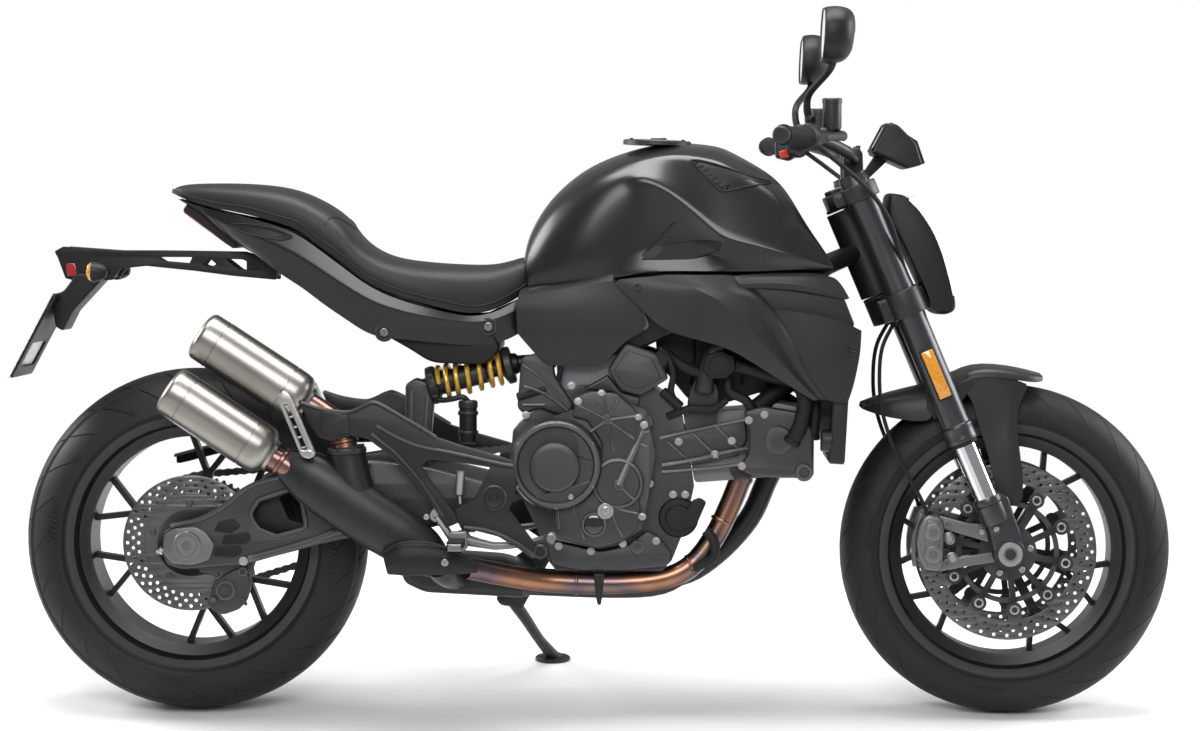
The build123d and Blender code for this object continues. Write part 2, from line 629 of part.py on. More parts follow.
# ---------------------------------------------------------------- exhaust
MUFFLER_R = 46.0
TAILPIPE_R = 18.0
LOWER_MUFFLER = ((-28, -163, 597), (149.5, -163, 480.3))
UPPER_MUFFLER = ((26, -140, 694), (211.5, -140, 573.3))
with BuildPart() as mufflers:
    for rear, front in (LOWER_MUFFLER, UPPER_MUFFLER):
        add(rod(rear, front, MUFFLER_R))
        axis = (Vector(*front) - Vector(*rear)).normalized()
        add(rod(rear, Vector(*rear) + axis * 60, TAILPIPE_R), mode=Mode.SUBTRACT)

with BuildPart() as exhaust_pipes:
    add(tube([(149.8, -163, 480.1), (233.3, -163, 425.2), (340, -172, 345), (405, -150, 280), (440, -50, 250)],
             [70, 90, 50], 30))
    add(tube([(211.8, -140, 573.1), (272.1, -140, 533.9), (270, -158, 480), (262, -161, 425)], [24, 60], 26))
    add(slab([(375, 275), (382, 240), (420, 220), (600, 214), (618, 225), (618, 262), (400, 290)],
             -70, 70, 10))
    for y in (-52, 30):
        add(tube([(1080, y, 436 - SEAT_GAP), (1080, y, 396), (1000, y, 300), (900, y, 242), (600, y, 242)],
                 [30, 110, 110], 22))

with BuildPart() as exhaust_shield:
    add(
        slab([(192, 452), (240, 492), (300, 446), (440, 366), (474, 330), (500, 296), (440, 300),
              (385, 268), (300, 318), (214, 398)], -212, -208, 5)
    )
    for x, z in ((300, 378), (330, 353)):
        add(rod((x, -208, z), (x, -201.9, z), 8))

# ---------------------------------------------------------------- pegs and side stand
BRACKET_Y = (168.0, 180.0)
with BuildPart() as peg_brackets:
    for bracket in both_sides(
        slab(
            [(218, 575), (300, 566), (340, 573), (372, 560), (420, 522), (480, 492), (556, 466),
             (572, 446), (600, 376), (600, 318), (545, 338), (500, 350), (486, 344), (440, 430),
             (330, 522), (226, 552)],
            BRACKET_Y[0], BRACKET_Y[1], 6,
        )
    ):
        add(bracket)
    for side, arm_face in ((-1, ARM_RIGHT[0]), (1, ARM_LEFT[1])):
        add(cross_rod(PIVOT[0], PIVOT[1], arm_face + side * SEAT_GAP, side * BRACKET_Y[0], PIVOT_R))

PEG_R = 11.0
with BuildPart() as footpegs:
    for side in (-1, 1):
        add(cross_rod(500, 362, side * (BRACKET_Y[1] + SEAT_GAP), side * 262, PEG_R))
        low, high = sorted((side * 210, side * 226))
        add(slab([(183, 590), (198, 594), (226, 486), (212, 480)], low, high, 4))
        add(cross_rod(236, 562, side * (BRACKET_Y[1] + SEAT_GAP), side * 226, 8))
        add(slab([(194, 570), (240, 572), (240, 552), (200, 552)], low, high))

with BuildPart() as foot_controls:
    add(tube([(495, -161.7, 330), (560, -161.7, 318), (640, -161.7, 330), (655, -196, 336)], [60, 14], 6))
    add(tube([(495, 161.7, 330), (560, 161.7, 318), (640, 161.7, 338), (655, 196, 342)], [60, 14], 6))

STAND_PIVOT = Vector(560, 126, 205)
STAND_AXIS = Vector(0, 0.876, 0.482)
STAND_FOOT_Y = 285.0
stand_foot = Vector(640, STAND_FOOT_Y, STAND_FOOT_Y * tan(radians(LEAN)))
with BuildPart() as side_stand:
    add(tube([STAND_PIVOT, STAND_PIVOT + Vector(20, 38, -42), stand_foot + Vector(0, 0, 10)], [60], 11))
    with BuildSketch(Plane(origin=stand_foot, z_dir=(0, -sin(radians(LEAN)), cos(radians(LEAN))))):
        Ellipse(34, 24)
    extrude(amount=8)
    add(rod(STAND_PIVOT - STAND_AXIS * 12, STAND_PIVOT + STAND_AXIS * 12, 17))
    add(rod(STAND_PIVOT - STAND_AXIS * 13, STAND_PIVOT + STAND_AXIS * 13, 6 + RUNNING), mode=Mode.SUBTRACT)

with BuildPart() as stand_bracket:
    add(rod(STAND_PIVOT - STAND_AXIS * 27, STAND_PIVOT + STAND_AXIS * 16, 6))
    add(rod(STAND_PIVOT - STAND_AXIS * 27, STAND_PIVOT - STAND_AXIS * 12.3, 18))
    add(slab([(545, 186), (590, 174), (640, 262), (698, 284), (698, 326), (650, 326), (566, 262)],
             CASE_HALF + SEAT_GAP, 105, 6))

# ---------------------------------------------------------------- fork
def in_fork(piece):
    """A piece drawn at the origin, u, v and w along x, y and z, set in the fork's frame."""
    return FORK.location * piece


OUTER_TUBE_W = (217.0, 731.0)
SEAL_RING_W = 250.0


def leg_rod(side, w_low, w_high, radius, inner_r=0.0):
    """A round rod or ring on one fork leg."""
    return in_fork(rod((0, side * LEG_Y, w_low), (0, side * LEG_Y, w_high), radius, inner_r))


def yoke(w_low, w_high, clamp_r, stem_clamp_r):
    """A clamp plate that carries both legs and the stem."""
    with BuildPart() as plate:
        with BuildSketch(Plane(origin=FORK.from_local_coords((0, 0, w_low)), x_dir=FORK.x_dir,
                               z_dir=FORK.z_dir)):
            with Locations((0, -LEG_Y), (0, LEG_Y)):
                Circle(clamp_r)
            with Locations((STEM_U, 0)):
                Circle(stem_clamp_r)
            make_hull()
            with Locations((0, -LEG_Y), (0, LEG_Y)):
                Circle(OUTER_TUBE_R + 0.1, mode=Mode.SUBTRACT)
        extrude(amount=w_high - w_low)
    return plate.part


with BuildPart() as bottom_yoke:
    add(yoke(*BOTTOM_YOKE_W, 34, 32))
    add(rod(on_stem(BOTTOM_YOKE_W[1]), on_stem(TOP_YOKE_W[0]), STEM_R))
    for low, high in ((-40, -26), (26, 40)):
        add(slab([(1298, 770), (1318, 742), (1336.0, 740.2), (1328.8, 757)], low, high))

with BuildPart() as top_yoke:
    add(yoke(*TOP_YOKE_W, 35, 30))

with BuildPart() as fork_tubes:
    for side in (-1, 1):
        add(leg_rod(side, *OUTER_TUBE_W, OUTER_TUBE_R, SLIDER_R + 0.1))
        add(leg_rod(side, OUTER_TUBE_W[0], SEAL_RING_W, OUTER_TUBE_R + 2.5, SLIDER_R + 0.1))
        add(leg_rod(side, OUTER_TUBE_W[1], OUTER_TUBE_W[1] + 5, OUTER_TUBE_R - 2))

with BuildPart() as fork_sliders:
    for side in (-1, 1):
        add(leg_rod(side, 40, 640, SLIDER_R))
        low, high = sorted((side * 77, side * 108.7))
        add(slab([(1428, 388), (1452, 412), (1470, 404), (1498, 310), (1492, 282), (1474, 274),
                  (1452, 282), (1440, 310)], low, high, 6))
        add(cross_rod(WHEELBASE, FRONT_AXLE_Z, low - 1, high + 1, FRONT_AXLE_R + 0.1), mode=Mode.SUBTRACT)

with BuildPart() as front_calipers:
    for side in (-1, 1):
        low, high = sorted((side * 42, side * 106))
        add(slab([(1318, 372), (1354, 364), (1352, 266), (1314, 274), (1304, 322)], low, high, 6))
        add(
            cross_rod(WHEELBASE, FRONT_AXLE_Z, side * FRONT_DISC_Y - 7.5, side * FRONT_DISC_Y + 7.5,
                      FRONT_DISC_R + 5),
            mode=Mode.SUBTRACT,
        )
    for side in (-1, 1):
        low, high = sorted((side * 74, side * 84))
        for arm in ([(1352, 366), (1352, 346), (1437.7, 322), (1433.1, 352)],
                    [(1352, 268), (1352, 284), (1443.8, 300), (1450.6, 284)]):
            add(slab(arm, low, high))

# ---------------------------------------------------------------- handlebar and its controls
BAR_CLAMP = (1193.0, 1008.0)
BAR_END = (1054.0, 1041.0)
with BuildPart() as handlebar:
    add(
        tube(
            [(BAR_END[0], -BAR_HALF, BAR_END[1]), (1118, -210, 1040), (1186, -120, 1014),
             (BAR_CLAMP[0], -60, BAR_CLAMP[1]), (BAR_CLAMP[0], 60, BAR_CLAMP[1]),
             (1186, 120, 1014), (1118, 210, 1040), (BAR_END[0], BAR_HALF, BAR_END[1])],
            [70, 60, 40, 40, 60, 70], BAR_R,
        )
    )
    for side in (-1, 1):
        low, high = sorted((side * 26, side * 52))
        add(slab([(1176, 952.4), (1176, 1026), (1206, 1030), (1212, 967.6)], low, high))

BAR_DIRECTION = (Vector(1118, 210, 1040) - Vector(BAR_END[0], BAR_HALF, BAR_END[1])).normalized()


def along_bar(side, distance):
    """A point on the outer straight of the bar, a distance in from its end."""
    point = Vector(BAR_END[0], BAR_HALF, BAR_END[1]) + BAR_DIRECTION * distance
    return Vector(point.X, side * point.Y, point.Z)


with BuildPart() as grips:
    for side in (-1, 1):
        add(rod(along_bar(side, -14), along_bar(side, -1), 15))
        add(rod(along_bar(side, 0), along_bar(side, 118), 16.5, BAR_R + 0.2))

with BuildPart() as hand_controls:
    for side in (-1, 1):
        perch = along_bar(side, 153)
        add(rod(along_bar(side, 119), along_bar(side, 144), 24, BAR_R + 0.2))
        add(rod(along_bar(side, 146), along_bar(side, 160), 19, BAR_R + 0.2))
        add(tube([perch + Vector(16, 0, 4), along_bar(side, 130) + Vector(64, 0, 2),
                  along_bar(side, -6) + Vector(70, 0, -4)], [30], 7))
        add(rod(perch + Vector(34, 0, 6), perch + Vector(34, 0, 62), 17))
        add(rod(perch + Vector(-4, 0, 12), perch + Vector(-4, 0, 26), 9))

with BuildPart() as mirrors:
    for side in (-1, 1):
        low, high = sorted((side * MIRROR_INNER_Y, side * MIRROR_OUTER_Y))
        add(slab([(1118, 1232), (1142, 1258), (1160, 1250), (1168, 1232), (1168, 1190), (1162, 1172),
                  (1140, 1160), (1114, 1178)], low, high, 8))
        root = along_bar(side, 153) + Vector(-4, 0, 29)
        add(tube([root, root + Vector(-8, side * 10, 30), (1135, side * 370, 1166)], [26], 7))

# ---------------------------------------------------------------- light, display, mudguard, hoses
with BuildPart() as headlight:
    with BuildSketch(Plane.XZ.offset(0)) as lamp_side:
        with BuildLine():
            Polyline((1256, 950), (1282, 944), (1312, 914), (1342, 868), (1362, 818), (1378, 758),
                     (1377, 734), (1360, 726), (1342, 727), (1328, 760), (1286, 842), (1252, 912),
                     close=True)
        make_face()
        fillet(lamp_side.vertices(), 5)
    extrude(amount=95, both=True)
    fillet(headlight.edges().group_by(Axis.Y)[0] + headlight.edges().group_by(Axis.Y)[-1], 12)

with BuildPart() as display:
    add(slab([(1226, 1018), (1256, 1076), (1276, 1067), (1304, 1036), (1316, 996), (1290, 990)],
             -76, 76, 5))
    add(slab([(1200, 962.5), (1240, 1020), (1262, 1010), (1218, 970.1)], -14, 14))

MUDGUARD_R = 318.0
MUDGUARD_HALF = 68.0
with BuildPart() as front_mudguard:
    with BuildSketch(FRONT_WHEEL):
        with BuildLine():
            Polyline((-MUDGUARD_HALF, MUDGUARD_R - 40), (-MUDGUARD_HALF + 6, MUDGUARD_R - 4),
                     (-30, MUDGUARD_R + 8), (30, MUDGUARD_R + 8), (MUDGUARD_HALF - 6, MUDGUARD_R - 4),
                     (MUDGUARD_HALF, MUDGUARD_R - 40), (MUDGUARD_HALF - 3, MUDGUARD_R - 40),
                     (MUDGUARD_HALF - 8, MUDGUARD_R - 6), (29, MUDGUARD_R + 4), (-29, MUDGUARD_R + 4),
                     (8 - MUDGUARD_HALF, MUDGUARD_R - 6), (3 - MUDGUARD_HALF, MUDGUARD_R - 40),
                     close=True)
        make_face()
    revolve(axis=FRONT_AXIS, revolution_arc=-62)

with BuildPart() as brake_hoses:
    for side in (-1, 1):
        add(tube([(1267, side * 60, 713.7), (1240, side * 72, 646), (1246, side * 88, 560),
                  (1292, side * 92, 450), (1328, side * 92, 371.4)], [60, 120, 120], 3.5))

# ---------------------------------------------------------------- parking and writing
lean = Plane(origin=(0, 0, 0), x_dir=(1, 0, 0), z_dir=(0, sin(radians(LEAN)), cos(radians(LEAN))))
pieces = {
    "engine_crankcase": engine_crankcase, "engine_cylinders": engine_cylinders,
    "engine_side_covers": engine_side_covers, "main_frame": main_frame,
    "rear_subframe": rear_subframe, "swingarm": swingarm, "rear_axle": rear_axle,
    "shock_absorber": shock_absorber, "shock_spring": shock_spring, "fuel_tank": fuel_tank,
    "airbox_covers": airbox_covers, "seat": seat, "tail_light": tail_light,
    "plate_bracket": plate_bracket, "number_plate": number_plate,
    "rear_indicators": rear_indicators, "radiator_shrouds": radiator_shrouds,
    "radiator": radiator, "exhaust_pipes": exhaust_pipes, "mufflers": mufflers,
    "exhaust_shield": exhaust_shield, "peg_brackets": peg_brackets, "footpegs": footpegs,
    "foot_controls": foot_controls, "chain": chain, "chain_guard": chain_guard,
    "rear_caliper": rear_caliper, "stand_bracket": stand_bracket, "bottom_yoke": bottom_yoke,
    "top_yoke": top_yoke, "fork_tubes": fork_tubes, "fork_sliders": fork_sliders,
    "front_axle": front_axle, "handlebar": handlebar, "grips": grips,
    "hand_controls": hand_controls, "mirrors": mirrors, "headlight": headlight,
    "display": display, "front_mudguard": front_mudguard, "front_calipers": front_calipers,
    "brake_hoses": brake_hoses, "front_tyre": front_tyre, "front_wheel": front_wheel,
    "front_discs": front_discs, "disc_carriers": disc_carriers, "rear_tyre": rear_tyre,
    "rear_wheel": rear_wheel, "rear_disc": rear_disc, "rear_sprocket": rear_sprocket,
    "side_stand": side_stand, "fuel_cap": fuel_cap,
}
leaning = {name: lean.location * piece.part for name, piece in pieces.items()}
boxes = [piece.bounding_box() for piece in leaning.values()]
parking = Location((
    -(min(box.min.X for box in boxes) + max(box.max.X for box in boxes)) / 2,
    -(min(box.min.Y for box in boxes) + max(box.max.Y for box in boxes)) / 2,
    -min(box.min.Z for box in boxes),
))

os.makedirs("parts", exist_ok=True)
for name, piece in leaning.items():
    parked = parking * piece
    parked.label = name
    export_step(parked, f"parts/{name}.step")
print("origin moved by", parking.position)
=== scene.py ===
"""The looks of a parked naked motorcycle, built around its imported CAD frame."""
import json
import math

import bmesh
import bpy
from mathutils import Matrix, Vector
from mathutils.bvhtree import BVHTree


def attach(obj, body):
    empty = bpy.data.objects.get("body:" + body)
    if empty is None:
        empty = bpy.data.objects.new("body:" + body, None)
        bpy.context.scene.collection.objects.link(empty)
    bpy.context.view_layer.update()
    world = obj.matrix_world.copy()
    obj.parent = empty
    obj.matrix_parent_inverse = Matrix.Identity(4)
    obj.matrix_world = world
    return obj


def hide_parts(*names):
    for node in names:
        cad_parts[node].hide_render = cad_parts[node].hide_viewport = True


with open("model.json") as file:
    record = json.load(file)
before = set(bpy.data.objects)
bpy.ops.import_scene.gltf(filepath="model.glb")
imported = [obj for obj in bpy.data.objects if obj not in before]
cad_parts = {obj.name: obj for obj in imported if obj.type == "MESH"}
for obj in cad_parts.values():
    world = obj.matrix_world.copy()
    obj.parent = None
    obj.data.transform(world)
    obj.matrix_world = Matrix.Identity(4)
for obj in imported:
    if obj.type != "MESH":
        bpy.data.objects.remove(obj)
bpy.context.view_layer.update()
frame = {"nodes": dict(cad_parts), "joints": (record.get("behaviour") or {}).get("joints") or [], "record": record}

# ---------------------------------------------------------------- the upright motorcycle's frame
# Shapes are drawn on the upright machine in millimetres: x forward from the rear axle, y to the
# rider's left, z up from the floor.  BIKE turns them into the leaning frame, in metres.
joints = {joint["name"]: joint for joint in frame["joints"]}
WHEELBASE = 1474.0
REAR_AXLE_Z = 313.89
FRONT_AXLE_Z = 300.53
LEAN = math.radians(10)
RAKE = math.radians(22.9)
LEG_Y = 95               # from the middle to each fork leg
STEM_U = -31.3           # from the legs' plane back to the steering stem
FRONT_DISC_Y = 62
REAR_DISC_Y = -92
CHAIN_Y = 103
LEFT = Vector(joints["rear_wheel_spin"]["axis"]).normalized()
FORWARD = Vector((1, 0, 0))
UP = FORWARD.cross(LEFT)
START = Vector(joints["rear_wheel_spin"]["pos_m"]) - UP * REAR_AXLE_Z / 1000
MM = 0.001
BIKE = Matrix((
    (FORWARD.x * MM, LEFT.x * MM, UP.x * MM, START.x),
    (FORWARD.y * MM, LEFT.y * MM, UP.y * MM, START.y),
    (FORWARD.z * MM, LEFT.z * MM, UP.z * MM, START.z),
    (0, 0, 0, 1),
))
# Directions on the upright machine
TO_RIGHT = (0, -1, 0)
TO_LEFT = (0, 1, 0)
UPWARD = (0, 0, 1)
ACROSS = Vector(TO_LEFT)
FORK_FORWARD = Vector((math.cos(RAKE), 0, math.sin(RAKE)))
FORK_UP = Vector((-math.sin(RAKE), 0, math.cos(RAKE)))
FRONT_AXLE = Vector((WHEELBASE, 0, FRONT_AXLE_Z))
REAR_AXLE = Vector((0, 0, REAR_AXLE_Z))


def fork(u, v, w):
    """A point in the fork's frame: u forward across the legs, v left, w up from the front axle."""
    return FRONT_AXLE + FORK_FORWARD * u + ACROSS * v + FORK_UP * w


# ---------------------------------------------------------------- camera, light and floor
# The camera was fitted to the photo on the upright machine: angles in radians, place in mm.
CAMERA_YAW, CAMERA_PITCH, CAMERA_ROLL = 0.0216060, 0.0453902, 0.0014764
CAMERA_PLACE = Vector((855.06, -5490.35, 881.60))
CAMERA_LENS, CAMERA_SENSOR, CAMERA_REACH = 90.324, 36, 100
FLOOR_REACH = 14.0
FADE_START, FADE_END = 1.15, 2.3         # where the floor turns white, in metres from its middle
LAMPS = (                                # name, place, target, size, power, height
    ("top_lamp", (700, -300, 3600), (750, 0, 500), 3.2, 170, 1.6),
    ("near_lamp", (500, -3600, 2300), (750, 0, 500), 2.4, 90, 1.6),
    ("rear_lamp", (-2400, 600, 1900), (300, 0, 600), 1.6, 80, 1.6),
    ("front_lamp", (3900, 300, 1700), (1200, 0, 600), 1.6, 80, 1.6),
)


def put(name, data):
    """A new object in the scene."""
    thing = bpy.data.objects.new(name, data)
    bpy.context.scene.collection.objects.link(thing)
    return thing


def make_camera():
    """A long lens level with the tank, square to the right side of the upright machine."""
    yaw, pitch, roll = CAMERA_YAW, CAMERA_PITCH, CAMERA_ROLL
    ahead = Vector((-math.sin(yaw) * math.cos(pitch), math.cos(yaw) * math.cos(pitch), -math.sin(pitch)))
    right = Vector((math.cos(yaw), math.sin(yaw), 0))
    up = right.cross(ahead)
    right, up = right * math.cos(roll) + up * math.sin(roll), up * math.cos(roll) - right * math.sin(roll)
    turn = BIKE.to_3x3() * 1000
    right, up, ahead = turn @ right, turn @ up, turn @ ahead
    camera = put("camera", bpy.data.cameras.new("camera"))
    camera.data.sensor_width = CAMERA_SENSOR
    camera.data.lens = CAMERA_LENS
    camera.data.clip_end = CAMERA_REACH
    place = BIKE @ CAMERA_PLACE
    camera.matrix_world = Matrix((
        (right.x, up.x, -ahead.x, place.x),
        (right.y, up.y, -ahead.y, place.y),
        (right.z, up.z, -ahead.z, place.z),
        (0, 0, 0, 1),
    ))
    bpy.context.scene.camera = camera


make_camera()


def set_inputs(tree, node, inputs):
    """Link each input to the socket given for it, or give it its value."""
    for key, value in inputs.items():
        if isinstance(value, bpy.types.NodeSocket):
            tree.links.new(value, node.inputs[key])
        else:
            node.inputs[key].default_value = value


def add(tree, kind, result=0, inputs=None, **settings):
    """A new shader node with its settings and inputs; what comes back is the named output."""
    node = tree.nodes.new("ShaderNode" + kind)
    for key, value in settings.items():
        setattr(node, key, value)
    set_inputs(tree, node, inputs or {})
    return node.outputs[result]


def nodes_of(name):
    """A new node material, its node tree, and its shader."""
    material = bpy.data.materials.new(name)
    material.use_nodes = True
    tree = material.node_tree
    return material, tree, tree.nodes["Principled BSDF"]


def add_light(name, place, target, size, power, height):
    """A soft rectangular lamp that points at a target, both on the upright machine in mm."""
    lamp = bpy.data.lights.new(name, "AREA")
    lamp.shape = "RECTANGLE"
    lamp.size = size
    lamp.size_y = height
    lamp.energy = power
    thing = put(name, lamp)
    thing.location = BIKE @ Vector(place)
    thing.rotation_euler = ((BIKE @ Vector(target)) - thing.location).to_track_quat("-Z", "Y").to_euler()


def make_world():
    """White to the camera, and a plain pale light on the motorcycle."""
    world = bpy.data.worlds.new("studio")
    bpy.context.scene.world = world
    world.use_nodes = True
    tree = world.node_tree
    light = tree.nodes["Background"]
    set_inputs(tree, light, {"Color": (0.78, 0.79, 0.8, 1), "Strength": 0.42})
    white = add(tree, "Background", inputs={"Color": (1, 1, 1, 1), "Strength": 1.0})
    seen = add(tree, "LightPath", "Is Camera Ray")
    mix = add(tree, "MixShader", inputs={"Fac": seen, 1: light.outputs["Background"], 2: white})
    set_inputs(tree, tree.nodes["World Output"], {"Surface": mix})


def make_floor():
    """A pale floor that keeps the shadow and fades into white away from the motorcycle."""
    mesh = bpy.data.meshes.new("floor")
    reach = FLOOR_REACH
    mesh.from_pydata([(-reach, -reach, 0), (reach, -reach, 0), (reach, reach, 0), (-reach, reach, 0)],
                     [], [(0, 1, 2, 3)])
    material, tree, shader = nodes_of("floor_paper")
    set_inputs(tree, shader, {"Base Color": (0.82, 0.82, 0.82, 1), "Roughness": 0.7})
    place = add(tree, "TexCoord", "Object")
    place = add(tree, "Mapping", inputs={"Scale": (1, 1.6, 1), "Vector": place})
    distance = add(tree, "VectorMath", "Value", {0: place}, operation="LENGTH")
    fade = add(tree, "MapRange", inputs={"From Min": FADE_START, "From Max": FADE_END, "Value": distance},
               interpolation_type="SMOOTHSTEP")
    seen = add(tree, "LightPath", "Is Camera Ray")
    rays = seen.node.outputs
    for kind in ("Is Glossy Ray", "Is Transmission Ray"):
        seen = add(tree, "Math", inputs={0: seen, 1: rays[kind]}, operation="MAXIMUM")
    amount = add(tree, "Math", inputs={0: seen, 1: fade}, operation="MULTIPLY")
    white = add(tree, "Emission", inputs={"Color": (1, 1, 1, 1)})
    mix = add(tree, "MixShader", inputs={"Fac": amount, 1: shader.outputs["BSDF"], 2: white})
    set_inputs(tree, tree.nodes["Material Output"], {"Surface": mix})
    mesh.materials.append(material)
    put("floor", mesh)


make_world()
make_floor()
for lamp_values in LAMPS:
    add_light(*lamp_values)
bpy.context.scene.view_settings.view_transform = "Standard"


# ---------------------------------------------------------------- materials
def grained(name, colour, roughness, metallic=0.0, grain=0.0, scale=400.0, variation=0.12, coat=0.0,
            coat_roughness=0.1, edge_tone=0.0, edge_colour=(0.5, 0.5, 0.5), sheen=0.5):
    """A finish with fine grain in its bump, slow changes of colour and gloss, and a lighter colour on sharp convex
    edges.
    """
    material, tree, shader = nodes_of(name)
    place = add(tree, "TexCoord", "Object")
    slow = add(tree, "TexNoise", "Fac", {"Scale": 9.0, "Detail": 4.0, "Vector": place})
    fine = add(tree, "TexNoise", "Fac", {"Scale": scale, "Detail": 3.0, "Vector": place})
    darker = [c * (1 - variation) for c in colour]
    lighter = [min(1, c * (1 + variation)) for c in colour]
    surface = add(tree, "Mix", "Result", {"A": (*darker, 1), "B": (*lighter, 1), "Factor": slow},
                  data_type="RGBA")
    # Sharp convex edges, found by pointiness, are mixed towards a lighter colour.
    if edge_tone:
        edges = add(tree, "NewGeometry", "Pointiness")
        ramp = add(tree, "ValToRGB", "Color", {"Fac": edges})
        for element, position in zip(ramp.node.color_ramp.elements, (0.53, 0.62)):
            element.position = position
        amount = add(tree, "Math", inputs={1: edge_tone, 0: ramp}, operation="MULTIPLY")
        surface = add(tree, "Mix", "Result", {"A": surface, "B": (*edge_colour, 1), "Factor": amount},
                      data_type="RGBA")
    gloss = add(tree, "MapRange", "Result", {"To Min": max(0.02, roughness * 0.85),
                                             "To Max": min(1.0, roughness * 1.18), "Value": slow})
    set_inputs(tree, shader, {"Base Color": surface, "Roughness": gloss, "Metallic": metallic,
                              "Specular IOR Level": sheen})
    if coat:
        set_inputs(tree, shader, {"Coat Weight": coat, "Coat Roughness": coat_roughness})
    if grain:
        bump = add(tree, "Bump", "Normal", {"Strength": grain, "Distance": 0.0004, "Height": fine})
        set_inputs(tree, shader, {"Normal": bump})
    return material


def brushed(name, colour, roughness, stretch=(1, 60, 60), tint=()):
    """Metal with fine drawn lines along the machine, and an optional slow heat tint."""
    material, tree, shader = nodes_of(name)
    place = add(tree, "TexCoord", "Object")
    stretched = add(tree, "Mapping", "Vector", {"Scale": stretch, "Vector": place})
    lines = add(tree, "TexNoise", "Fac", {"Scale": 14.0, "Detail": 5.0, "Vector": stretched})
    slow = add(tree, "TexNoise", "Fac", {"Scale": 7.0, "Detail": 2.0, "Vector": place})
    shade = add(tree, "ValToRGB", "Color", {"Fac": slow})
    elements = shade.node.color_ramp.elements
    for element, position, strength in zip(elements, (0.3, 0.7), (0.82, 1)):
        element.position = position
        element.color = (*[c * strength for c in colour], 1)
    for position, tone in tint:
        elements.new(position).color = (*tone, 1)
    gloss = add(tree, "MapRange", "Result", {"To Min": roughness * 0.75, "To Max": roughness * 1.25,
                                             "Value": lines})
    bump = add(tree, "Bump", "Normal", {"Strength": 0.12, "Distance": 0.0002, "Height": lines})
    set_inputs(tree, shader, {"Base Color": shade, "Roughness": gloss, "Metallic": 1.0, "Normal": bump})
    return material


def lens(name, colour, roughness=0.05, glow=None):
    """A clear or coloured moulded lens, with optional light of its own."""
    material, tree, shader = nodes_of(name)
    place = add(tree, "TexCoord", "Object")
    facets = add(tree, "TexVoronoi", "Distance", {"Scale": 260.0, "Vector": place})
    shade = add(tree, "Mix", "Result", {"A": (*colour, 1), "B": (*[c * 0.6 for c in colour], 1),
                                        "Factor": facets}, data_type="RGBA")
    set_inputs(tree, shader, {"Base Color": shade, "Roughness": roughness, "Coat Weight": 1.0,
                              "Coat Roughness": 0.03})
    if glow:
        set_inputs(tree, shader, {"Emission Color": (*colour, 1), "Emission Strength": glow})
    return material


PAINT = grained("satin_black_paint", (0.004, 0.004, 0.0045), 0.3, coat=0.35, coat_roughness=0.2, variation=0.08,
                sheen=0.35)
PLASTIC = grained("black_plastic", (0.006, 0.006, 0.0065), 0.48, grain=0.35, scale=900, variation=0.1, sheen=0.3)
GREY_PLASTIC = grained("grey_plastic", (0.013, 0.013, 0.014), 0.42, grain=0.3, scale=900, variation=0.1, sheen=0.35)
CASTING = grained("grey_casting", (0.055, 0.055, 0.058), 0.42, metallic=0.75, grain=0.8, scale=500,
                  variation=0.18, edge_tone=0.35, edge_colour=(0.35, 0.35, 0.36))
BLACK_METAL = grained("black_casting", (0.007, 0.007, 0.0075), 0.4, sheen=0.4, grain=0.3, scale=600,
                      variation=0.12, edge_tone=0.25, edge_colour=(0.12, 0.12, 0.12))
GREY_METAL = grained("grey_metal", (0.16, 0.16, 0.165), 0.38, metallic=0.8, grain=0.5, scale=700,
                     variation=0.1, edge_tone=0.25, edge_colour=(0.45, 0.45, 0.45))
RUBBER = grained("rubber", (0.006, 0.006, 0.006), 0.62, grain=0.5, scale=700, sheen=0.3)
TYRE_RUBBER = grained("tyre", (0.007, 0.007, 0.007), 0.55, grain=0.5, scale=900, variation=0.18, sheen=0.3)
VINYL = grained("seat_cover", (0.009, 0.009, 0.0095), 0.5, grain=1.0, scale=420, variation=0.1, sheen=0.35)
STEEL = brushed("steel", (0.33, 0.315, 0.29), 0.33)
CHAIN = brushed("chain_steel", (0.16, 0.15, 0.14), 0.38, stretch=(1, 1, 1))
HEADER = brushed("header_steel", (0.2, 0.13, 0.09), 0.3,
                 tint=[(0.45, (0.3, 0.15, 0.09)), (0.6, (0.12, 0.09, 0.11))])
DISC = brushed("disc_steel", (0.14, 0.14, 0.145), 0.36, stretch=(1, 1, 1))
CHROME = brushed("chrome", (0.75, 0.75, 0.77), 0.1)
GOLD = grained("gold", (0.5, 0.32, 0.07), 0.35, metallic=0.5, coat=0.3)
BOLT = brushed("bolt_steel", (0.5, 0.49, 0.48), 0.34, stretch=(1, 1, 1))
RED_LENS = lens("red_lens", (0.35, 0.01, 0.012))
AMBER_LENS = lens("amber_lens", (0.75, 0.3, 0.02))
CLEAR_LENS = lens("lamp_glass", (0.16, 0.17, 0.18))
SCREEN = lens("screen_glass", (0.01, 0.01, 0.012))
WHITE_PLATE = grained("plate_white", (0.75, 0.75, 0.73), 0.35, grain=0.1)

SLOT_MATERIALS = {
    "satin_black_paint": PAINT, "black_plastic": PLASTIC, "grey_casting": CASTING,
    "black_casting": BLACK_METAL, "steel": STEEL, "header_steel": HEADER, "disc_steel": DISC,
    "chrome": CHROME, "gold": GOLD, "seat_cover": VINYL, "tyre": TYRE_RUBBER, "rubber": RUBBER,
    "red_lens": RED_LENS, "amber_lens": AMBER_LENS, "lamp_glass": CLEAR_LENS,
    "screen_glass": SCREEN, "plate_white": WHITE_PLATE,
}


def finish_cad_nodes():
    """Every CAD node that stays gets its slot's material."""
    for part in frame["record"]["subparts"]:
        thing = frame["nodes"][part["node"]]
        thing.data.materials.clear()
        thing.data.materials.append(SLOT_MATERIALS[part["material_slot"]])


finish_cad_nodes()


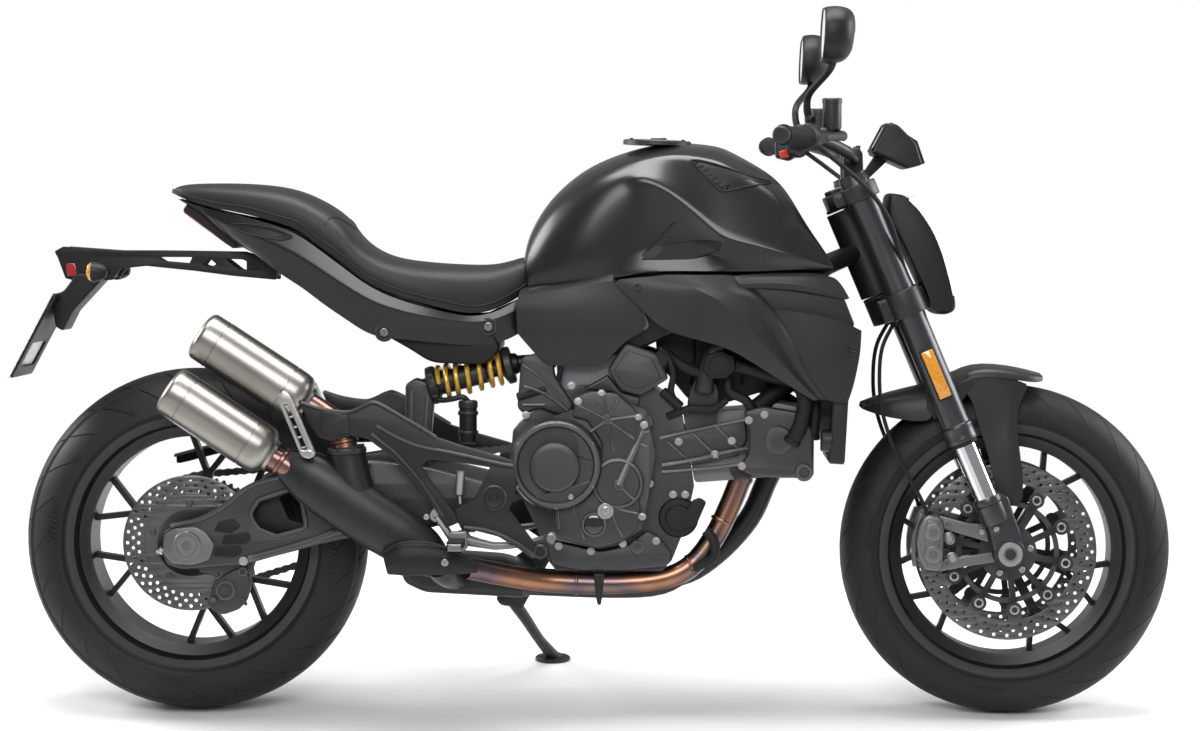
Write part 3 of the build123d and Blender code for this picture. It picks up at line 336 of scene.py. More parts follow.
# ---------------------------------------------------------------- shape tools
# A part is a pair (points, faces) on the upright machine in mm.
def smooth_line(points, steps=6, closed=False):
    """A Catmull-Rom line through the points."""
    points = [Vector(p) for p in points]
    count = len(points)
    line = []
    for i in range(count if closed else count - 1):
        if closed:
            a, b, c, d = (points[(i + k) % count] for k in (-1, 0, 1, 2))
        else:
            b, c = points[i], points[i + 1]
            a = points[i - 1] if i else b * 2 - c
            d = points[i + 2] if i + 2 < count else c * 2 - b
        for k in range(steps):
            t = k / steps
            line.append(0.5 * ((2 * b) + (c - a) * t + (2 * a - 5 * b + 4 * c - d) * t * t
                               + (3 * b - a - 3 * c + d) * t ** 3))
    if not closed:
        line.append(points[-1])
    return line


def joined(parts):
    """One part made of several."""
    points, faces = [], []
    for part_points, part_faces in parts:
        start = len(points)
        points.extend(Vector(p) for p in part_points)
        faces.extend(tuple(start + i for i in face) for face in part_faces)
    return points, faces


def mirrored(part):
    """The same part on the other side of the machine."""
    points, faces = part
    return [Vector((p[0], -p[1], p[2])) for p in points], [tuple(reversed(face)) for face in faces]


def both(part):
    """A part with its mirror image."""
    return joined([part, mirrored(part)])


def moved(part, matrix):
    """A part moved by a matrix in mm."""
    return [matrix @ Vector(p) for p in part[0]], part[1]


def shaped(part, levels=0, creases=(), thickness=0.0, bevel=0.0, segments=2, mirror=False):
    """A part after mirroring, thickening, subdividing and bevelling."""
    mesh = bpy.data.meshes.new("shaping")
    mesh.from_pydata([tuple(p) for p in part[0]], [], part[1])
    if creases:
        wanted = {tuple(sorted(pair)): value for pair, value in creases}
        attribute = mesh.attributes.new("crease_edge", "FLOAT", "EDGE")
        for edge in mesh.edges:
            attribute.data[edge.index].value = wanted.get(tuple(sorted(edge.vertices)), 0)
    thing = put("shaping", mesh)
    if mirror:
        step = thing.modifiers.new("mirror", "MIRROR")
        step.use_axis = (False, True, False)
        step.merge_threshold = 0.01
    if thickness:
        step = thing.modifiers.new("thickness", "SOLIDIFY")
        step.thickness = thickness
        step.offset = -1
        step.use_even_offset = True
    if levels:
        step = thing.modifiers.new("subdivision", "SUBSURF")
        step.levels = levels
        step.render_levels = levels
    if bevel:
        step = thing.modifiers.new("bevel", "BEVEL")
        step.width = bevel
        step.segments = segments
        step.limit_method = "ANGLE"
        step.angle_limit = math.radians(30)
    graph = bpy.context.evaluated_depsgraph_get()
    final = bpy.data.meshes.new_from_object(thing.evaluated_get(graph))
    result = [v.co.copy() for v in final.vertices], [tuple(p.vertices) for p in final.polygons]
    bpy.data.objects.remove(thing)
    bpy.data.meshes.remove(mesh)
    bpy.data.meshes.remove(final)
    return result


def grid(rows, wrap=False, cap=False):
    """A sheet of quads over rows of equal length; wrap joins the last point of each row to its first."""
    width = len(rows[0])
    points = [p for row in rows for p in row]
    faces = []
    for i in range(len(rows) - 1):
        for j in range(width if wrap else width - 1):
            k = (j + 1) % width
            faces.append((i * width + j, i * width + k, (i + 1) * width + k, (i + 1) * width + j))
    if cap:
        faces += [tuple(reversed(range(width))), tuple((len(rows) - 1) * width + j for j in range(width))]
    return points, faces


def row_creases(rows, lines, value=1.0, span=None):
    """Crease values for the lines of a grid that run along its rows."""
    width = len(rows[0])
    found = []
    for j in lines:
        for i in range(len(rows) - 1):
            if span is None or span[0] <= i < span[1]:
                found.append(((i * width + j, (i + 1) * width + j), value))
    return found


def ring_frame(direction):
    """Two directions square to a third."""
    direction = Vector(direction).normalized()
    side = direction.cross(Vector(UPWARD))
    if side.length < 0.1:
        side = direction.cross(ACROSS)
    side.normalize()
    return side, side.cross(direction).normalized()


def tube(points, radius, sides=14, steps=6, closed=False, straight=False):
    """A round tube along a smooth line; radius may be one number or one for each given point."""
    count = len(points)
    line = [Vector(p) for p in points] if straight else smooth_line(points, steps, closed)
    radii = list(radius) if isinstance(radius, (list, tuple)) else [radius] * count
    rows = []
    side = None
    for i, place in enumerate(line):
        ahead = line[min(i + 1, len(line) - 1)] - line[max(i - 1, 0)]
        if closed:
            ahead = line[(i + 1) % len(line)] - line[i - 1]
        ahead.normalize()
        if side is None:
            side, _ = ring_frame(ahead)
        side = (side - ahead * side.dot(ahead)).normalized()
        other = ahead.cross(side)
        along = i / max(1, len(line) - 1) * (count - 1)
        low = min(int(along), count - 2)
        r = radii[low] + (radii[low + 1] - radii[low]) * (along - low)
        rows.append([place + (side * math.cos(a) + other * math.sin(a)) * r
                     for a in (math.tau * k / sides for k in range(sides))])
    if closed:
        rows.append(rows[0])
        return grid(rows, wrap=True)
    return grid(rows, wrap=True, cap=True)


def lathe(profile, start, axis, turns=48, hexed=()):
    """A turned shape: profile points are (radius, distance along the axis); hexed points have flats."""
    axis = Vector(axis).normalized()
    side, other = ring_frame(axis)
    start = Vector(start)
    rows = []
    for i, (r, distance) in enumerate(profile):
        row = []
        for k in range(turns):
            a = math.tau * k / turns
            size = r
            if i in hexed:
                size = r * math.cos(math.pi / 6) / math.cos(a % (math.pi / 3) - math.pi / 6)
            row.append(start + axis * distance + (side * math.cos(a) + other * math.sin(a)) * size)
        rows.append(row)
    return grid(rows, wrap=True, cap=True)


def bolt(place, axis, r, height=None, socket=True, turns=24):
    """A socket or hexagon head standing on a surface."""
    height = height or r * 0.9
    if socket:
        profile = [(r, -1), (r, height * 0.85), (r * 0.88, height), (r * 0.6, height), (r * 0.56, height * 0.35)]
        return lathe(profile, place, axis, turns, hexed=(3, 4))
    profile = [(r * 1.35, -1), (r * 1.35, height * 0.2), (r, height * 0.22), (r, height * 0.9), (r * 0.9, height)]
    return lathe(profile, place, axis, turns, hexed=(2, 3, 4))


def flat(outline, holes=(), thickness=4.0, bevel=0.8, place=None, resolution=2):
    """A plate cut to an outline with holes; place turns (across, up, out) into the machine's frame."""
    curve = bpy.data.curves.new("cutting", "CURVE")
    curve.dimensions = "2D"
    curve.fill_mode = "BOTH"
    curve.extrude = max(0.01, thickness / 2 - bevel)
    curve.bevel_depth = bevel
    curve.bevel_resolution = resolution
    curve.offset = -bevel
    for loop in [outline, *holes]:
        spline = curve.splines.new("POLY")
        spline.points.add(len(loop) - 1)
        for point, (a, b) in zip(spline.points, loop):
            point.co = (a, b, 0, 1)
        spline.use_cyclic_u = True
    thing = put("cutting", curve)
    mesh = bpy.data.meshes.new_from_object(thing.evaluated_get(bpy.context.evaluated_depsgraph_get()))
    work = bmesh.new()
    work.from_mesh(mesh)
    bmesh.ops.remove_doubles(work, verts=work.verts, dist=0.001)
    work.to_mesh(mesh)
    work.free()
    part = [v.co.copy() for v in mesh.vertices], [tuple(p.vertices) for p in mesh.polygons]
    bpy.data.objects.remove(thing)
    bpy.data.curves.remove(curve)
    bpy.data.meshes.remove(mesh)
    return moved(part, place) if place else part


def circle(a, b, r, count=24):
    """Points of a circle in a plate's plane."""
    return [(a + r * math.cos(math.tau * k / count), b + r * math.sin(math.tau * k / count)) for k in range(count)]


def polar(r, degrees):
    """A point of a plate at a radius and an angle."""
    return r * math.cos(math.radians(degrees)), r * math.sin(math.radians(degrees))


def arc(a, b, r, angles):
    """Points of a circle in a plate's plane, at angles in degrees."""
    return [(a + r * math.cos(math.radians(angle)), b + r * math.sin(math.radians(angle))) for angle in angles]


def around(r, count, first=0):
    """Points set evenly round a circle in a plate's plane, from a first angle in degrees."""
    return [polar(r, first + 360 * k / count) for k in range(count)]


def scaled(points, middle, scale):
    """An outline drawn in towards its middle."""
    return [(middle[0] + (a - middle[0]) * scale, middle[1] + (b - middle[1]) * scale) for a, b in points]


BOX_FACES = [(0, 1, 3, 2), (4, 6, 7, 5), (0, 4, 5, 1), (2, 3, 7, 6), (0, 2, 6, 4), (1, 5, 7, 3)]


def box(us, vs, ws, place=lambda u, v, w: Vector((u, v, w))):
    """A box between two values of each coordinate; place turns them into a point."""
    return [place(u, v, w) for u in us for v in vs for w in ws], BOX_FACES


def tilted_plane(base, along, out):
    """The frame of a plate whose second direction runs along, and whose face looks out, from a base."""
    return Matrix(((0, along.x, out.x, base.x), (1, 0, 0, 0), (0, along.z, out.z, base.z), (0, 0, 0, 1)))


def rounded(outline, r, steps=4):
    """An outline with its corners rounded."""
    points = [Vector((a, b)) for a, b in outline]
    result = []
    for i, corner in enumerate(points):
        back = points[i - 1] - corner
        ahead = points[(i + 1) % len(points)] - corner
        reach = min(r, back.length * 0.45, ahead.length * 0.45)
        start = corner + back.normalized() * reach
        end = corner + ahead.normalized() * reach
        for k in range(steps + 1):
            t = k / steps
            result.append(tuple(start * (1 - t) ** 2 + corner * 2 * t * (1 - t) + end * t * t))
    return result


def side_plane(y):
    """The frame of a plate that faces across the machine: its middle lies at the given y."""
    return Matrix(((1, 0, 0, 0), (0, 0, 1, y), (0, 1, 0, 0), (0, 0, 0, 1)))


def side_plate(outline, y_low, y_high, holes=(), bevel=1.5, corner=0.0):
    """A plate that faces across the machine, between two values of y."""
    shape = rounded(outline, corner) if corner else outline
    return flat(shape, holes, y_high - y_low, bevel, side_plane((y_low + y_high) / 2))


def piece(name, parts, body, slot, material=None, sharp=32, replaces=()):
    """One visible object made of parts, riding on a body and standing for any CAD nodes it replaces."""
    points, faces = joined(parts) if isinstance(parts, list) else parts
    mesh = bpy.data.meshes.new(name)
    mesh.from_pydata([tuple(p) for p in points], [], faces)
    mesh.transform(BIKE)
    work = bmesh.new()
    work.from_mesh(mesh)
    bmesh.ops.recalc_face_normals(work, faces=work.faces)
    work.to_mesh(mesh)
    work.free()
    mesh.shade_smooth()
    mesh.set_sharp_from_angle(angle=math.radians(sharp))
    mesh.materials.append(material or SLOT_MATERIALS[slot])
    thing = put(name, mesh)
    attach(thing, body)
    if replaces:
        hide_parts(*replaces)
    return thing


OUTSIDE_Y, BODY_Y = -400, -120           # clear of the machine, and about on its right-hand side


class Surface:
    """A part that other pieces can be laid on."""

    def __init__(self, part):
        self.tree = BVHTree.FromPolygons([tuple(p) for p in part[0]], part[1])

    def side(self, x, z, lift=0.0):
        """The point on the right-hand side at x and z, and its outward direction."""
        hit, normal, _, _ = self.tree.ray_cast(Vector((x, OUTSIDE_Y, z)), ACROSS)
        if hit is None:
            hit, normal, _, _ = self.tree.find_nearest(Vector((x, BODY_Y, z)))
        if normal.y > 0:
            normal = -normal
        return hit + normal * lift, normal

    def line(self, points, lift=0.0, steps=8):
        """A line through x and z points, laid on the right-hand side."""
        path = smooth_line([(x, 0, z) for x, z in points], steps)
        return [self.side(p.x, p.z, lift)[0] for p in path]


# ---------------------------------------------------------------- tank
def make_tank():
    """The tank's skin: a crowned shell with shoulder and knee creases, and wings round the fork."""
    # Each station: x, then (half width, height) from the top's middle down to the bottom edge.
    stations = [
        (600, (0, 833), (26, 832), (48, 828), (62, 818), (70, 800), (72, 782), (66, 762)),
        (604, (0, 860), (30, 857), (54, 848), (70, 828), (78, 806), (79, 786), (71, 764)),
        (617, (0, 890), (34, 886), (62, 873), (80, 845), (89, 815), (88, 788), (79, 765)),
        (645, (0, 935), (42, 929), (76, 910), (98, 872), (107, 832), (106, 793), (96, 770)),
        (696, (0, 981), (50, 974), (87, 955), (112, 922), (124, 862), (123, 812), (111, 780)),
        (742, (0, 1006), (54, 1000), (93, 982), (121, 962), (128, 884), (125, 828), (117, 790)),
        (790, (0, 1023), (57, 1018), (98, 1001), (129, 977), (127, 896), (120, 840), (121, 799)),
        (829, (0, 1033), (58, 1027), (100, 1009), (136, 969), (122, 900), (116, 850), (124, 805)),
        (868, (0, 1038), (59, 1032), (102, 1014), (141, 944), (122, 893), (117, 850), (127, 806)),
        (905, (0, 1037), (60, 1031), (104, 1010), (146, 912), (126, 876), (121, 842), (132, 806)),
        (938, (0, 1033), (60, 1027), (106, 1003), (150, 882), (136, 861), (131, 834), (138, 806)),
        (960, (0, 1029), (60, 1023), (107, 995), (154, 866), (150, 850), (144, 828), (143, 806)),
        (1000, (0, 1008), (60, 1001), (108, 975), (159, 858), (156, 842), (149, 822), (146, 806)),
        (1040, (0, 985), (60, 978), (110, 952), (161, 847), (158, 834), (150, 819), (146, 807)),
        (1072, (60, 955), (80, 950), (117, 925), (161, 838), (158, 828), (150, 817), (146, 808)),
        (1105, (112, 890), (120, 888), (133, 874), (157, 829), (154, 823), (149, 815), (145, 809)),
        (1135, (134, 848), (137, 848), (142, 843), (153, 819), (151, 816), (148, 812), (145, 809)),
        (1153, (142, 818), (143, 818), (145, 817), (149, 814), (149, 813), (147, 811), (145, 810)),
    ]
    rows = []
    for x, *section in stations:
        row = [Vector((x, -y, z)) for y, z in section]
        y, z = section[-1]
        row.append(Vector((x, -y + 14, z + 4)))
        rows.append(row)
    creases = row_creases(rows, [2], 0.55, (4, 14))
    creases += row_creases(rows, [3], 0.85, (6, 17))
    creases += row_creases(rows, [5], 0.5, (6, 11))
    creases += row_creases(rows, [6, 7], 0.9)
    return shaped(grid(rows), levels=3, creases=creases)


TANK = make_tank()
TANK_SKIN = Surface(TANK)
piece("tank_skin", [both(TANK)], "chassis", "satin_black_paint", replaces=["fuel_tank"], sharp=45)


# ---------------------------------------------------------------- seat
def seat_rows():
    """Sections of the seat from its tail to the tank: half width, and heights down its side."""
    stations = [
        (-40, 38, 951, 945), (-30, 56, 959, 942), (-8, 72, 963, 931), (50, 92, 964, 916), (105, 104, 963, 907),
        (160, 112, 958, 891), (198, 116, 948, 879), (232, 120, 932, 851), (262, 124, 914, 831),
        (283, 126, 893, 816), (298, 128, 869, 802), (325, 130, 846, 783), (362, 131, 829, 766),
        (410, 129, 822, 750), (460, 120, 818, 737), (505, 108, 816, 727), (545, 97, 816, 733),
        (577, 89, 824, 750), (598, 82, 831, 764), (610, 74, 829, 775),
    ]
    rows = []
    for x, half, top, low in stations:
        tall = top - low
        rows.append([
            Vector((x, 0, top)), Vector((x, -half * 0.42, top - 1)), Vector((x, -half * 0.76, top - tall * 0.1)),
            Vector((x, -half * 0.95, top - tall * 0.3)), Vector((x, -half, top - tall * 0.6)),
            Vector((x, -half * 0.985, low + tall * 0.12)), Vector((x, -half * 0.95, low)),
            Vector((x, -half * 0.6, low + tall * 0.12)), Vector((x, 0, low + tall * 0.2)),
        ])
    return rows


def make_seat():
    """A moulded foam seat with a tight cover and a seam along its edge."""
    rows = seat_rows()
    back, front = ([Vector((row[4].x + reach, p.y * narrower, (p.z + row[4].z) / 2)) for p in row]
                   for row, reach, narrower in ((rows[0], -3, 0.5), (rows[-1], 6, 0.55)))
    rows = [back, *rows, front]
    width = len(rows[0])
    points, faces = grid(rows)
    faces += [tuple(range(width)), tuple((len(rows) - 1) * width + j for j in reversed(range(width)))]
    return shaped((points, faces), levels=3, creases=row_creases(rows, [6], 0.7), mirror=True)


SEAT = make_seat()
SEAT_SKIN = Surface(SEAT)
seat = piece("seat_cushion", [SEAT], "chassis", "seat_cover", replaces=["seat"], sharp=60)


def make_seat_seams():
    """The piping along the seat's edge, and the seam between the rider's and passenger's panels."""
    rows = seat_rows()
    edge = [row[5] + Vector((0, -0.5, 2)) for row in rows]
    edge = [SEAT_SKIN.side(p.x, p.z + 3, 0.2)[0] for p in smooth_line(edge, 5)]
    across = []
    for k in range(25):
        y = -118 + 236 * k / 24
        start = Vector((292 - (abs(y) / 118) ** 2 * 46, y, 1100))
        hit = SEAT_SKIN.tree.ray_cast(start, Vector((0, 0, -1)))[0]
        if hit:
            across.append(hit + Vector((0, 0, 0.1)))
    return [both(tube(edge, 2.0, 8, straight=True)), tube(across, 1.5, 8, straight=True)]


piece("seat_piping", make_seat_seams(), "chassis", "seat_cover", material=RUBBER)


# ---------------------------------------------------------------- tail body
def make_tail_body():
    """The two painted side panels under the seat, each turning in under the tail."""
    top = [(-26, 46, 939), (0, 66, 926), (50, 88, 911), (105, 100, 901), (160, 109, 886), (200, 114, 870),
           (240, 119, 841), (285, 123, 808), (330, 126, 774), (385, 125, 752), (440, 118, 737), (500, 104, 722),
           (548, 96, 729), (590, 88, 753), (612, 80, 772)]
    crease = [(-18, 48, 931), (12, 70, 914), (55, 92, 893), (105, 105, 872), (160, 114, 851), (200, 119, 832),
              (240, 124, 806), (285, 128, 778), (330, 131, 751), (385, 129, 733), (440, 121, 722), (500, 107, 712),
              (548, 99, 716), (590, 91, 735), (612, 83, 752)]
    waist = [(-8, 44, 922), (25, 60, 899), (70, 84, 868), (112, 97, 846), (160, 107, 822), (200, 112, 802),
             (240, 117, 776), (285, 122, 747), (330, 125, 722), (385, 124, 712), (440, 117, 706), (500, 104, 700),
             (548, 96, 702), (590, 90, 716), (612, 82, 730)]
    lower = [(2, 36, 912), (38, 52, 884), (82, 74, 852), (116, 88, 838), (162, 99, 800), (205, 105, 776),
             (243, 110, 745), (286, 115, 718), (330, 118, 687), (385, 118, 684), (440, 112, 678), (500, 100, 672),
             (548, 92, 672), (590, 86, 690), (612, 80, 708)]
    under = [(x + 4, y * 0.55, z + 8) for x, y, z in lower]
    rows = [[Vector((x, -y, z)) for x, y, z in line] for line in zip(top, crease, waist, lower, under)]
    creases = row_creases(rows, [0, 3], 1.0) + row_creases(rows, [1], 0.8) + row_creases(rows, [2], 0.35)
    return shaped(grid(rows), levels=3, creases=creases)


TAIL = make_tail_body()
TAIL_SKIN = Surface(TAIL)


def make_tail_tray():
    """The black undertray and the shell under the seat that the panels stand on."""
    tray = side_plate([(352, 690), (398, 664), (428, 645), (445, 640), (530, 637), (548, 652), (560, 668),
                       (545, 700), (420, 706)], -96, 96, bevel=6, corner=10)
    deck = [(-24, 934), (60, 908), (160, 880), (202, 864), (285, 800), (330, 767), (440, 730), (505, 716),
            (600, 760), (600, 700), (500, 690), (440, 695), (330, 700), (245, 757), (165, 812), (118, 850),
            (60, 880), (10, 914)]
    return [tray, side_plate(deck, -72, 72, bevel=3)]


piece("tail_panels", [both(TAIL)], "chassis", "satin_black_paint", replaces=["rear_subframe"], sharp=40)
piece("tail_tray", make_tail_tray(), "chassis", "black_plastic", material=PLASTIC)


def make_grab_recesses():
    """The dark recess in each side panel, with its rim."""
    recess = [(72, 889), (110, 889), (160, 880), (192, 866), (170, 860), (130, 866), (90, 877)]
    back = [TAIL_SKIN.side(x, z, 1.0)[0] for x, z in rounded(recess, 10)]
    centre = sum(back, Vector()) / len(back)
    points = back + [centre + Vector((0, 1.0, 0))]
    faces = [(i, (i + 1) % len(back), len(back)) for i in range(len(back))]
    rim = tube(back, 1.6, 8, straight=True, closed=True)
    return [both((points, faces)), both(rim)]


piece("grab_recesses", make_grab_recesses(), "chassis", "black_plastic", material=PLASTIC)


def make_subframe_bolts():
    """The capped bosses where the subframe meets the frame and the tank's rear, and their socket bolts."""
    rings, bolts = [], []
    for x, z in [(353, 696), (538, 706)]:
        hit, _ = TAIL_SKIN.side(x, z)
        place = Vector((x, hit.y + 2, z))
        rings.append(lathe([(17, -6), (17, 3), (15.5, 4.5), (12, 4.5), (11.4, 2.5)], place, TO_RIGHT, 32))
        bolts.append(bolt(place + Vector((0, -2.5, 0)), TO_RIGHT, 7.5, 5))
    return [both(joined(rings))], [both(joined(bolts))]


subframe_rings, subframe_bolts = make_subframe_bolts()
piece("subframe_bosses", subframe_rings, "chassis", "steel", material=BLACK_METAL)
piece("subframe_bolts", subframe_bolts, "chassis", "steel", material=GREY_METAL)

# ---------------------------------------------------------------- tyres
OFF_TREAD = 99           # stands for an angle on the sidewalls, which have no grooves
BEAD_R = 230.5


def make_tyre(axle, radius, half, crown, rim_half, repeats, width):
    """A radial tyre: crowned tread with slanted grooves, ribbed sidewalls and beads inside the rim."""
    edge = math.degrees(math.asin(min(0.985, half / crown)))
    angles = [0, 3, 8, 12, 18, 25, 32, 40, 47, 54, 61, 67, edge - 4, edge]
    angles = [a for a in angles if a <= edge]
    side = [(crown * math.sin(math.radians(a)), radius - crown + crown * math.cos(math.radians(a)), a)
            for a in angles]
    last_y, last_r, _ = side[-1]
    bead = rim_half + 1.5
    drop = last_r - 231
    sidewall = [
        (last_y + 0.6, last_r - drop * 0.12), (last_y + 1.4, last_r - drop * 0.14),
        (last_y + 1.2, last_r - drop * 0.3), (last_y + 0.2, last_r - drop * 0.45),
        (last_y - 1.0, last_r - drop * 0.46), ((last_y + bead) / 2 + 1.2, last_r - drop * 0.7),
        (bead + 2.4, 237), (bead + 2.6, 234.5), (bead + 0.4, 233.5), (bead - 0.6, BEAD_R),
    ]
    side += [(y, r, OFF_TREAD) for y, r in sidewall]
    profile = [(-y, r, a) for y, r, a in reversed(side[1:])] + [(y, r, a) for y, r, a in side]
    lines = [0, 0.05, 0.95, 1]
    marks = []
    for start in (0, 0.5):
        marks += [(start + t * width, start, t) for t in lines]
        marks += [(start + width + (0.5 - width) * k / 4, start, 2) for k in (1, 2, 3)]
    rows = []
    for repeat in range(repeats):
        for t, start, inside in marks:
            row = []
            for y, r, a in profile:
                slant = ((edge if a == OFF_TREAD else a) / 60) ** 1.25 * 0.55
                turn = math.tau * (repeat + t + slant) / repeats
                long_groove = (start == 0) == (y < 0)
                grooved = (7 < a < 62) if long_groove else (24 < a < edge - 5)
                size = r - (3.2 if grooved and 0 < inside < 1 else 0.0)
                row.append(axle + Vector((size * math.sin(turn), y, size * math.cos(turn))))
            rows.append(row)
    rows.append(rows[0])
    outer = grid(rows)
    inner_profile = [(bead - 0.6, BEAD_R), (bead - 8, 228), (half * 0.9, 250), (half * 0.6, radius - 14),
                     (0, radius - 9), (-half * 0.6, radius - 14), (-half * 0.9, 250), (8 - bead, 228),
                     (0.6 - bead, BEAD_R)]
    inner_rows = []
    for k in range(97):
        turn = math.tau * k / 96
        inner_rows.append([axle + Vector((r * math.sin(turn), y, r * math.cos(turn))) for y, r in inner_profile])
    return joined([outer, grid(inner_rows)])


def sidewall_bars(axle, y, r_low, r_high, groups, bars):
    """Raised slanted bars moulded in groups on both sidewalls."""
    parts = []
    for group in range(groups):
        for k in range(bars):
            turn = math.tau * group / groups + 0.035 * k
            corners = []
            for r, shift in ((r_low, 0), (r_high, 0.02)):
                for width in (0, 0.016):
                    a = turn + shift + width
                    corners.append(axle + Vector((r * math.sin(a), 0, r * math.cos(a))))
            a, b, d, c = corners
            low = [p + Vector((0, -side, 0)) for p, side in ((a, y[0]), (b, y[0]), (c, y[1]), (d, y[1]))]
            top = [p + Vector((0, -1.5, 0)) for p in low]
            faces = [(0, 1, 2, 3), (4, 5, 6, 7), (0, 1, 5, 4), (1, 2, 6, 5), (2, 3, 7, 6), (3, 0, 4, 7)]
            parts.append((low + top, faces))
    return both(joined(parts))


piece("front_tyre_tread", [make_tyre(FRONT_AXLE, 299.6, 60, 60, 52, 12, 0.028),
                           sidewall_bars(FRONT_AXLE, (58.6, 59.6), 244, 256, 4, 7)],
      "front_wheel", "tyre", replaces=["front_tyre"], sharp=28)
piece("rear_tyre_tread", [make_tyre(REAR_AXLE, 312.5, 88, 90, 78, 12, 0.026),
                          sidewall_bars(REAR_AXLE, (85.6, 87.0), 246, 262, 4, 7)],
      "rear_wheel", "tyre", replaces=["rear_tyre"], sharp=28)


# ---------------------------------------------------------------- brake discs and calipers
def drillings(rings, hole_r, points=12):
    """Rings of drilled holes: radius, count, first angle."""
    return [circle(a, b, hole_r, points) for ring in rings for a, b in around(*ring)]


BOBBINS = (106, 10, -11)                 # radius, count, first angle


def make_front_disc(side):
    """A floating disc with drilled holes and tabs for its bobbins."""
    inner = []
    for k in range(10):
        middle = -11 + 36 * k
        inner += [polar(r, middle + a) for r, a in ((124.5, -5.6), (109, -6.0), (99, -5), (95.5, -2.4), (95.5, 2.4),
                                                    (99, 5), (109, 6.0), (124.5, 5.6))]
        inner += [polar(125, middle + a) for a in (9, 13, 18, 23, 27)]
    holes = [inner, *drillings([BOBBINS], 7.8, 20), *drillings([(152, 40, 0), (143, 40, 4.5), (134, 40, 1)], 3.1)]
    place = Matrix.Translation((WHEELBASE, side * FRONT_DISC_Y, FRONT_AXLE_Z)) @ side_plane(0)
    return flat(circle(0, 0, 160, 144), holes, 4.5, 0.35, place, resolution=1)


def make_bobbin_rings(side):
    """The washers and heads of the bobbins, and the six bolts of the disc carrier."""
    centre, out = FRONT_AXLE + ACROSS * (side * (FRONT_DISC_Y + 3.4)), (0, side, 0)
    washer = [(8.6, -0.5), (8.6, 1.6), (7.4, 2.4), (5.4, 2.4), (4.8, 0.8)]
    parts = [lathe(washer, centre + Vector((a, 0, b)), out, 24) for a, b in around(*BOBBINS)]
    return joined(parts + [bolt(centre + Vector((a, 0, b)), out, 5.6, 4) for a, b in around(41, 6, 9)])


def make_rear_disc():
    """The rear disc with its rings of holes, rim line and bolts, and the dark carrier behind it."""
    ears = around(72, 5, 20)
    holes = [circle(0, 0, 60, 60), *drillings([(114.5, 36, 0), (104.5, 36, 5), (94.5, 36, 0)], 3.2)]
    holes += [circle(a, b, 5, 16) for a, b in ears]
    centre = Vector((0, REAR_DISC_Y, REAR_AXLE_Z))
    disc = flat(circle(0, 0, 122.5, 120), holes, 4.5, 0.35, Matrix.Translation(centre) @ side_plane(0), resolution=1)
    face = centre + Vector((0, -2.2, 0))
    parts = [disc, lathe([(84, 0), (84, 0.9), (82, 0.9), (82, 0)], face, TO_RIGHT, 72)]
    parts += [bolt(face + Vector((a, 0, b)), TO_RIGHT, 6, 3.5) for a, b in ears]
    star = [polar(r, a + 72 * k) for k in range(5) for r, a in ((50, 56), (74, 14), (80, 20), (74, 26))]
    place = Matrix.Translation(centre + Vector((0, 5.2, 0))) @ side_plane(0)
    return parts, [flat(rounded(star, 5), [circle(0, 0, 38, 48)], 5, 0.8, place),
                   lathe([(38, 0), (48, 1), (48, 6), (38, 7)], centre + Vector((0, 12, 0)), TO_RIGHT, 64)]


for side, word in ((-1, "right"), (1, "left")):
    piece("front_disc_" + word, [make_front_disc(side)], "front_wheel", "disc_steel", replaces=["front_discs"])
    piece("disc_bobbins_" + word, [make_bobbin_rings(side)], "front_wheel", "steel", material=BOLT)
rear_disc, rear_carrier = make_rear_disc()
piece("rear_disc_plate", rear_disc, "rear_wheel", "disc_steel", replaces=["rear_disc"])
piece("rear_disc_carrier", rear_carrier, "rear_wheel", "black_casting")


def rod_part(start, end, r):
    """A plain round pin with chamfered ends."""
    start, end = Vector(start), Vector(end)
    length = (end - start).length
    chamfer = min(r * 0.25, length * 0.2)
    return lathe([(r - chamfer, 0), (r, chamfer), (r, length - chamfer), (r - chamfer, length)], start,
                 end - start, 20)


def make_front_caliper():
    """A one-piece radial caliper: two bridged halves, piston caps, pad pin and mounting feet."""
    shell = [(1319, 366), (1330, 371), (1350, 366), (1356, 350), (1354, 282), (1346, 268), (1322, 271),
             (1311, 290), (1306, 322), (1310, 348)]
    parts = [side_plate(shell, -106, -71, bevel=5, corner=5), side_plate(shell, -54, -43, bevel=3, corner=5)]
    bridge = []
    for r, angles in ((173, range(-9, 25, 3)), (165.5, range(24, -10, -3))):
        for a in angles:
            back, rise = polar(r, a)
            bridge.append((WHEELBASE - back, FRONT_AXLE_Z + rise))
    parts.append(side_plate(bridge, -74, -51, bevel=1))
    panel = [(1326, 362), (1346, 358), (1348, 284), (1342, 275), (1328, 277), (1323, 300), (1321, 340)]
    parts.append(side_plate(panel, -109, -104, bevel=1.5, corner=4))
    for z in (300, 340):
        parts.append(lathe([(15, 0), (15, 3), (13, 4.4), (6, 4.4), (5.4, 3)], (1336, -108, z), TO_RIGHT, 36))
    arms = [[(1350, 367), (1350, 345), (1437, 320), (1433, 352), (1400, 354)],
            [(1350, 266), (1350, 286), (1443, 302), (1450, 284), (1400, 276)]]
    for arm in arms:
        parts.append(side_plate(arm, -84, -74, bevel=1.5))
    for x, z in ((1366, 328), (1372, 292)):
        parts.append(lathe([(10, -2), (10, 6), (8, 7), (5, 7), (4.6, 4)], (x, -82, z), TO_RIGHT, 24))
    for x, z in ((1362, 352), (1362, 283)):
        parts.append(bolt((x, -85, z), TO_RIGHT, 7, 6))
    return joined(parts)


caliper = make_front_caliper()
piece("caliper_bodies", [both(caliper)], "steering", "grey_casting", material=GREY_METAL,
      replaces=["front_calipers"])


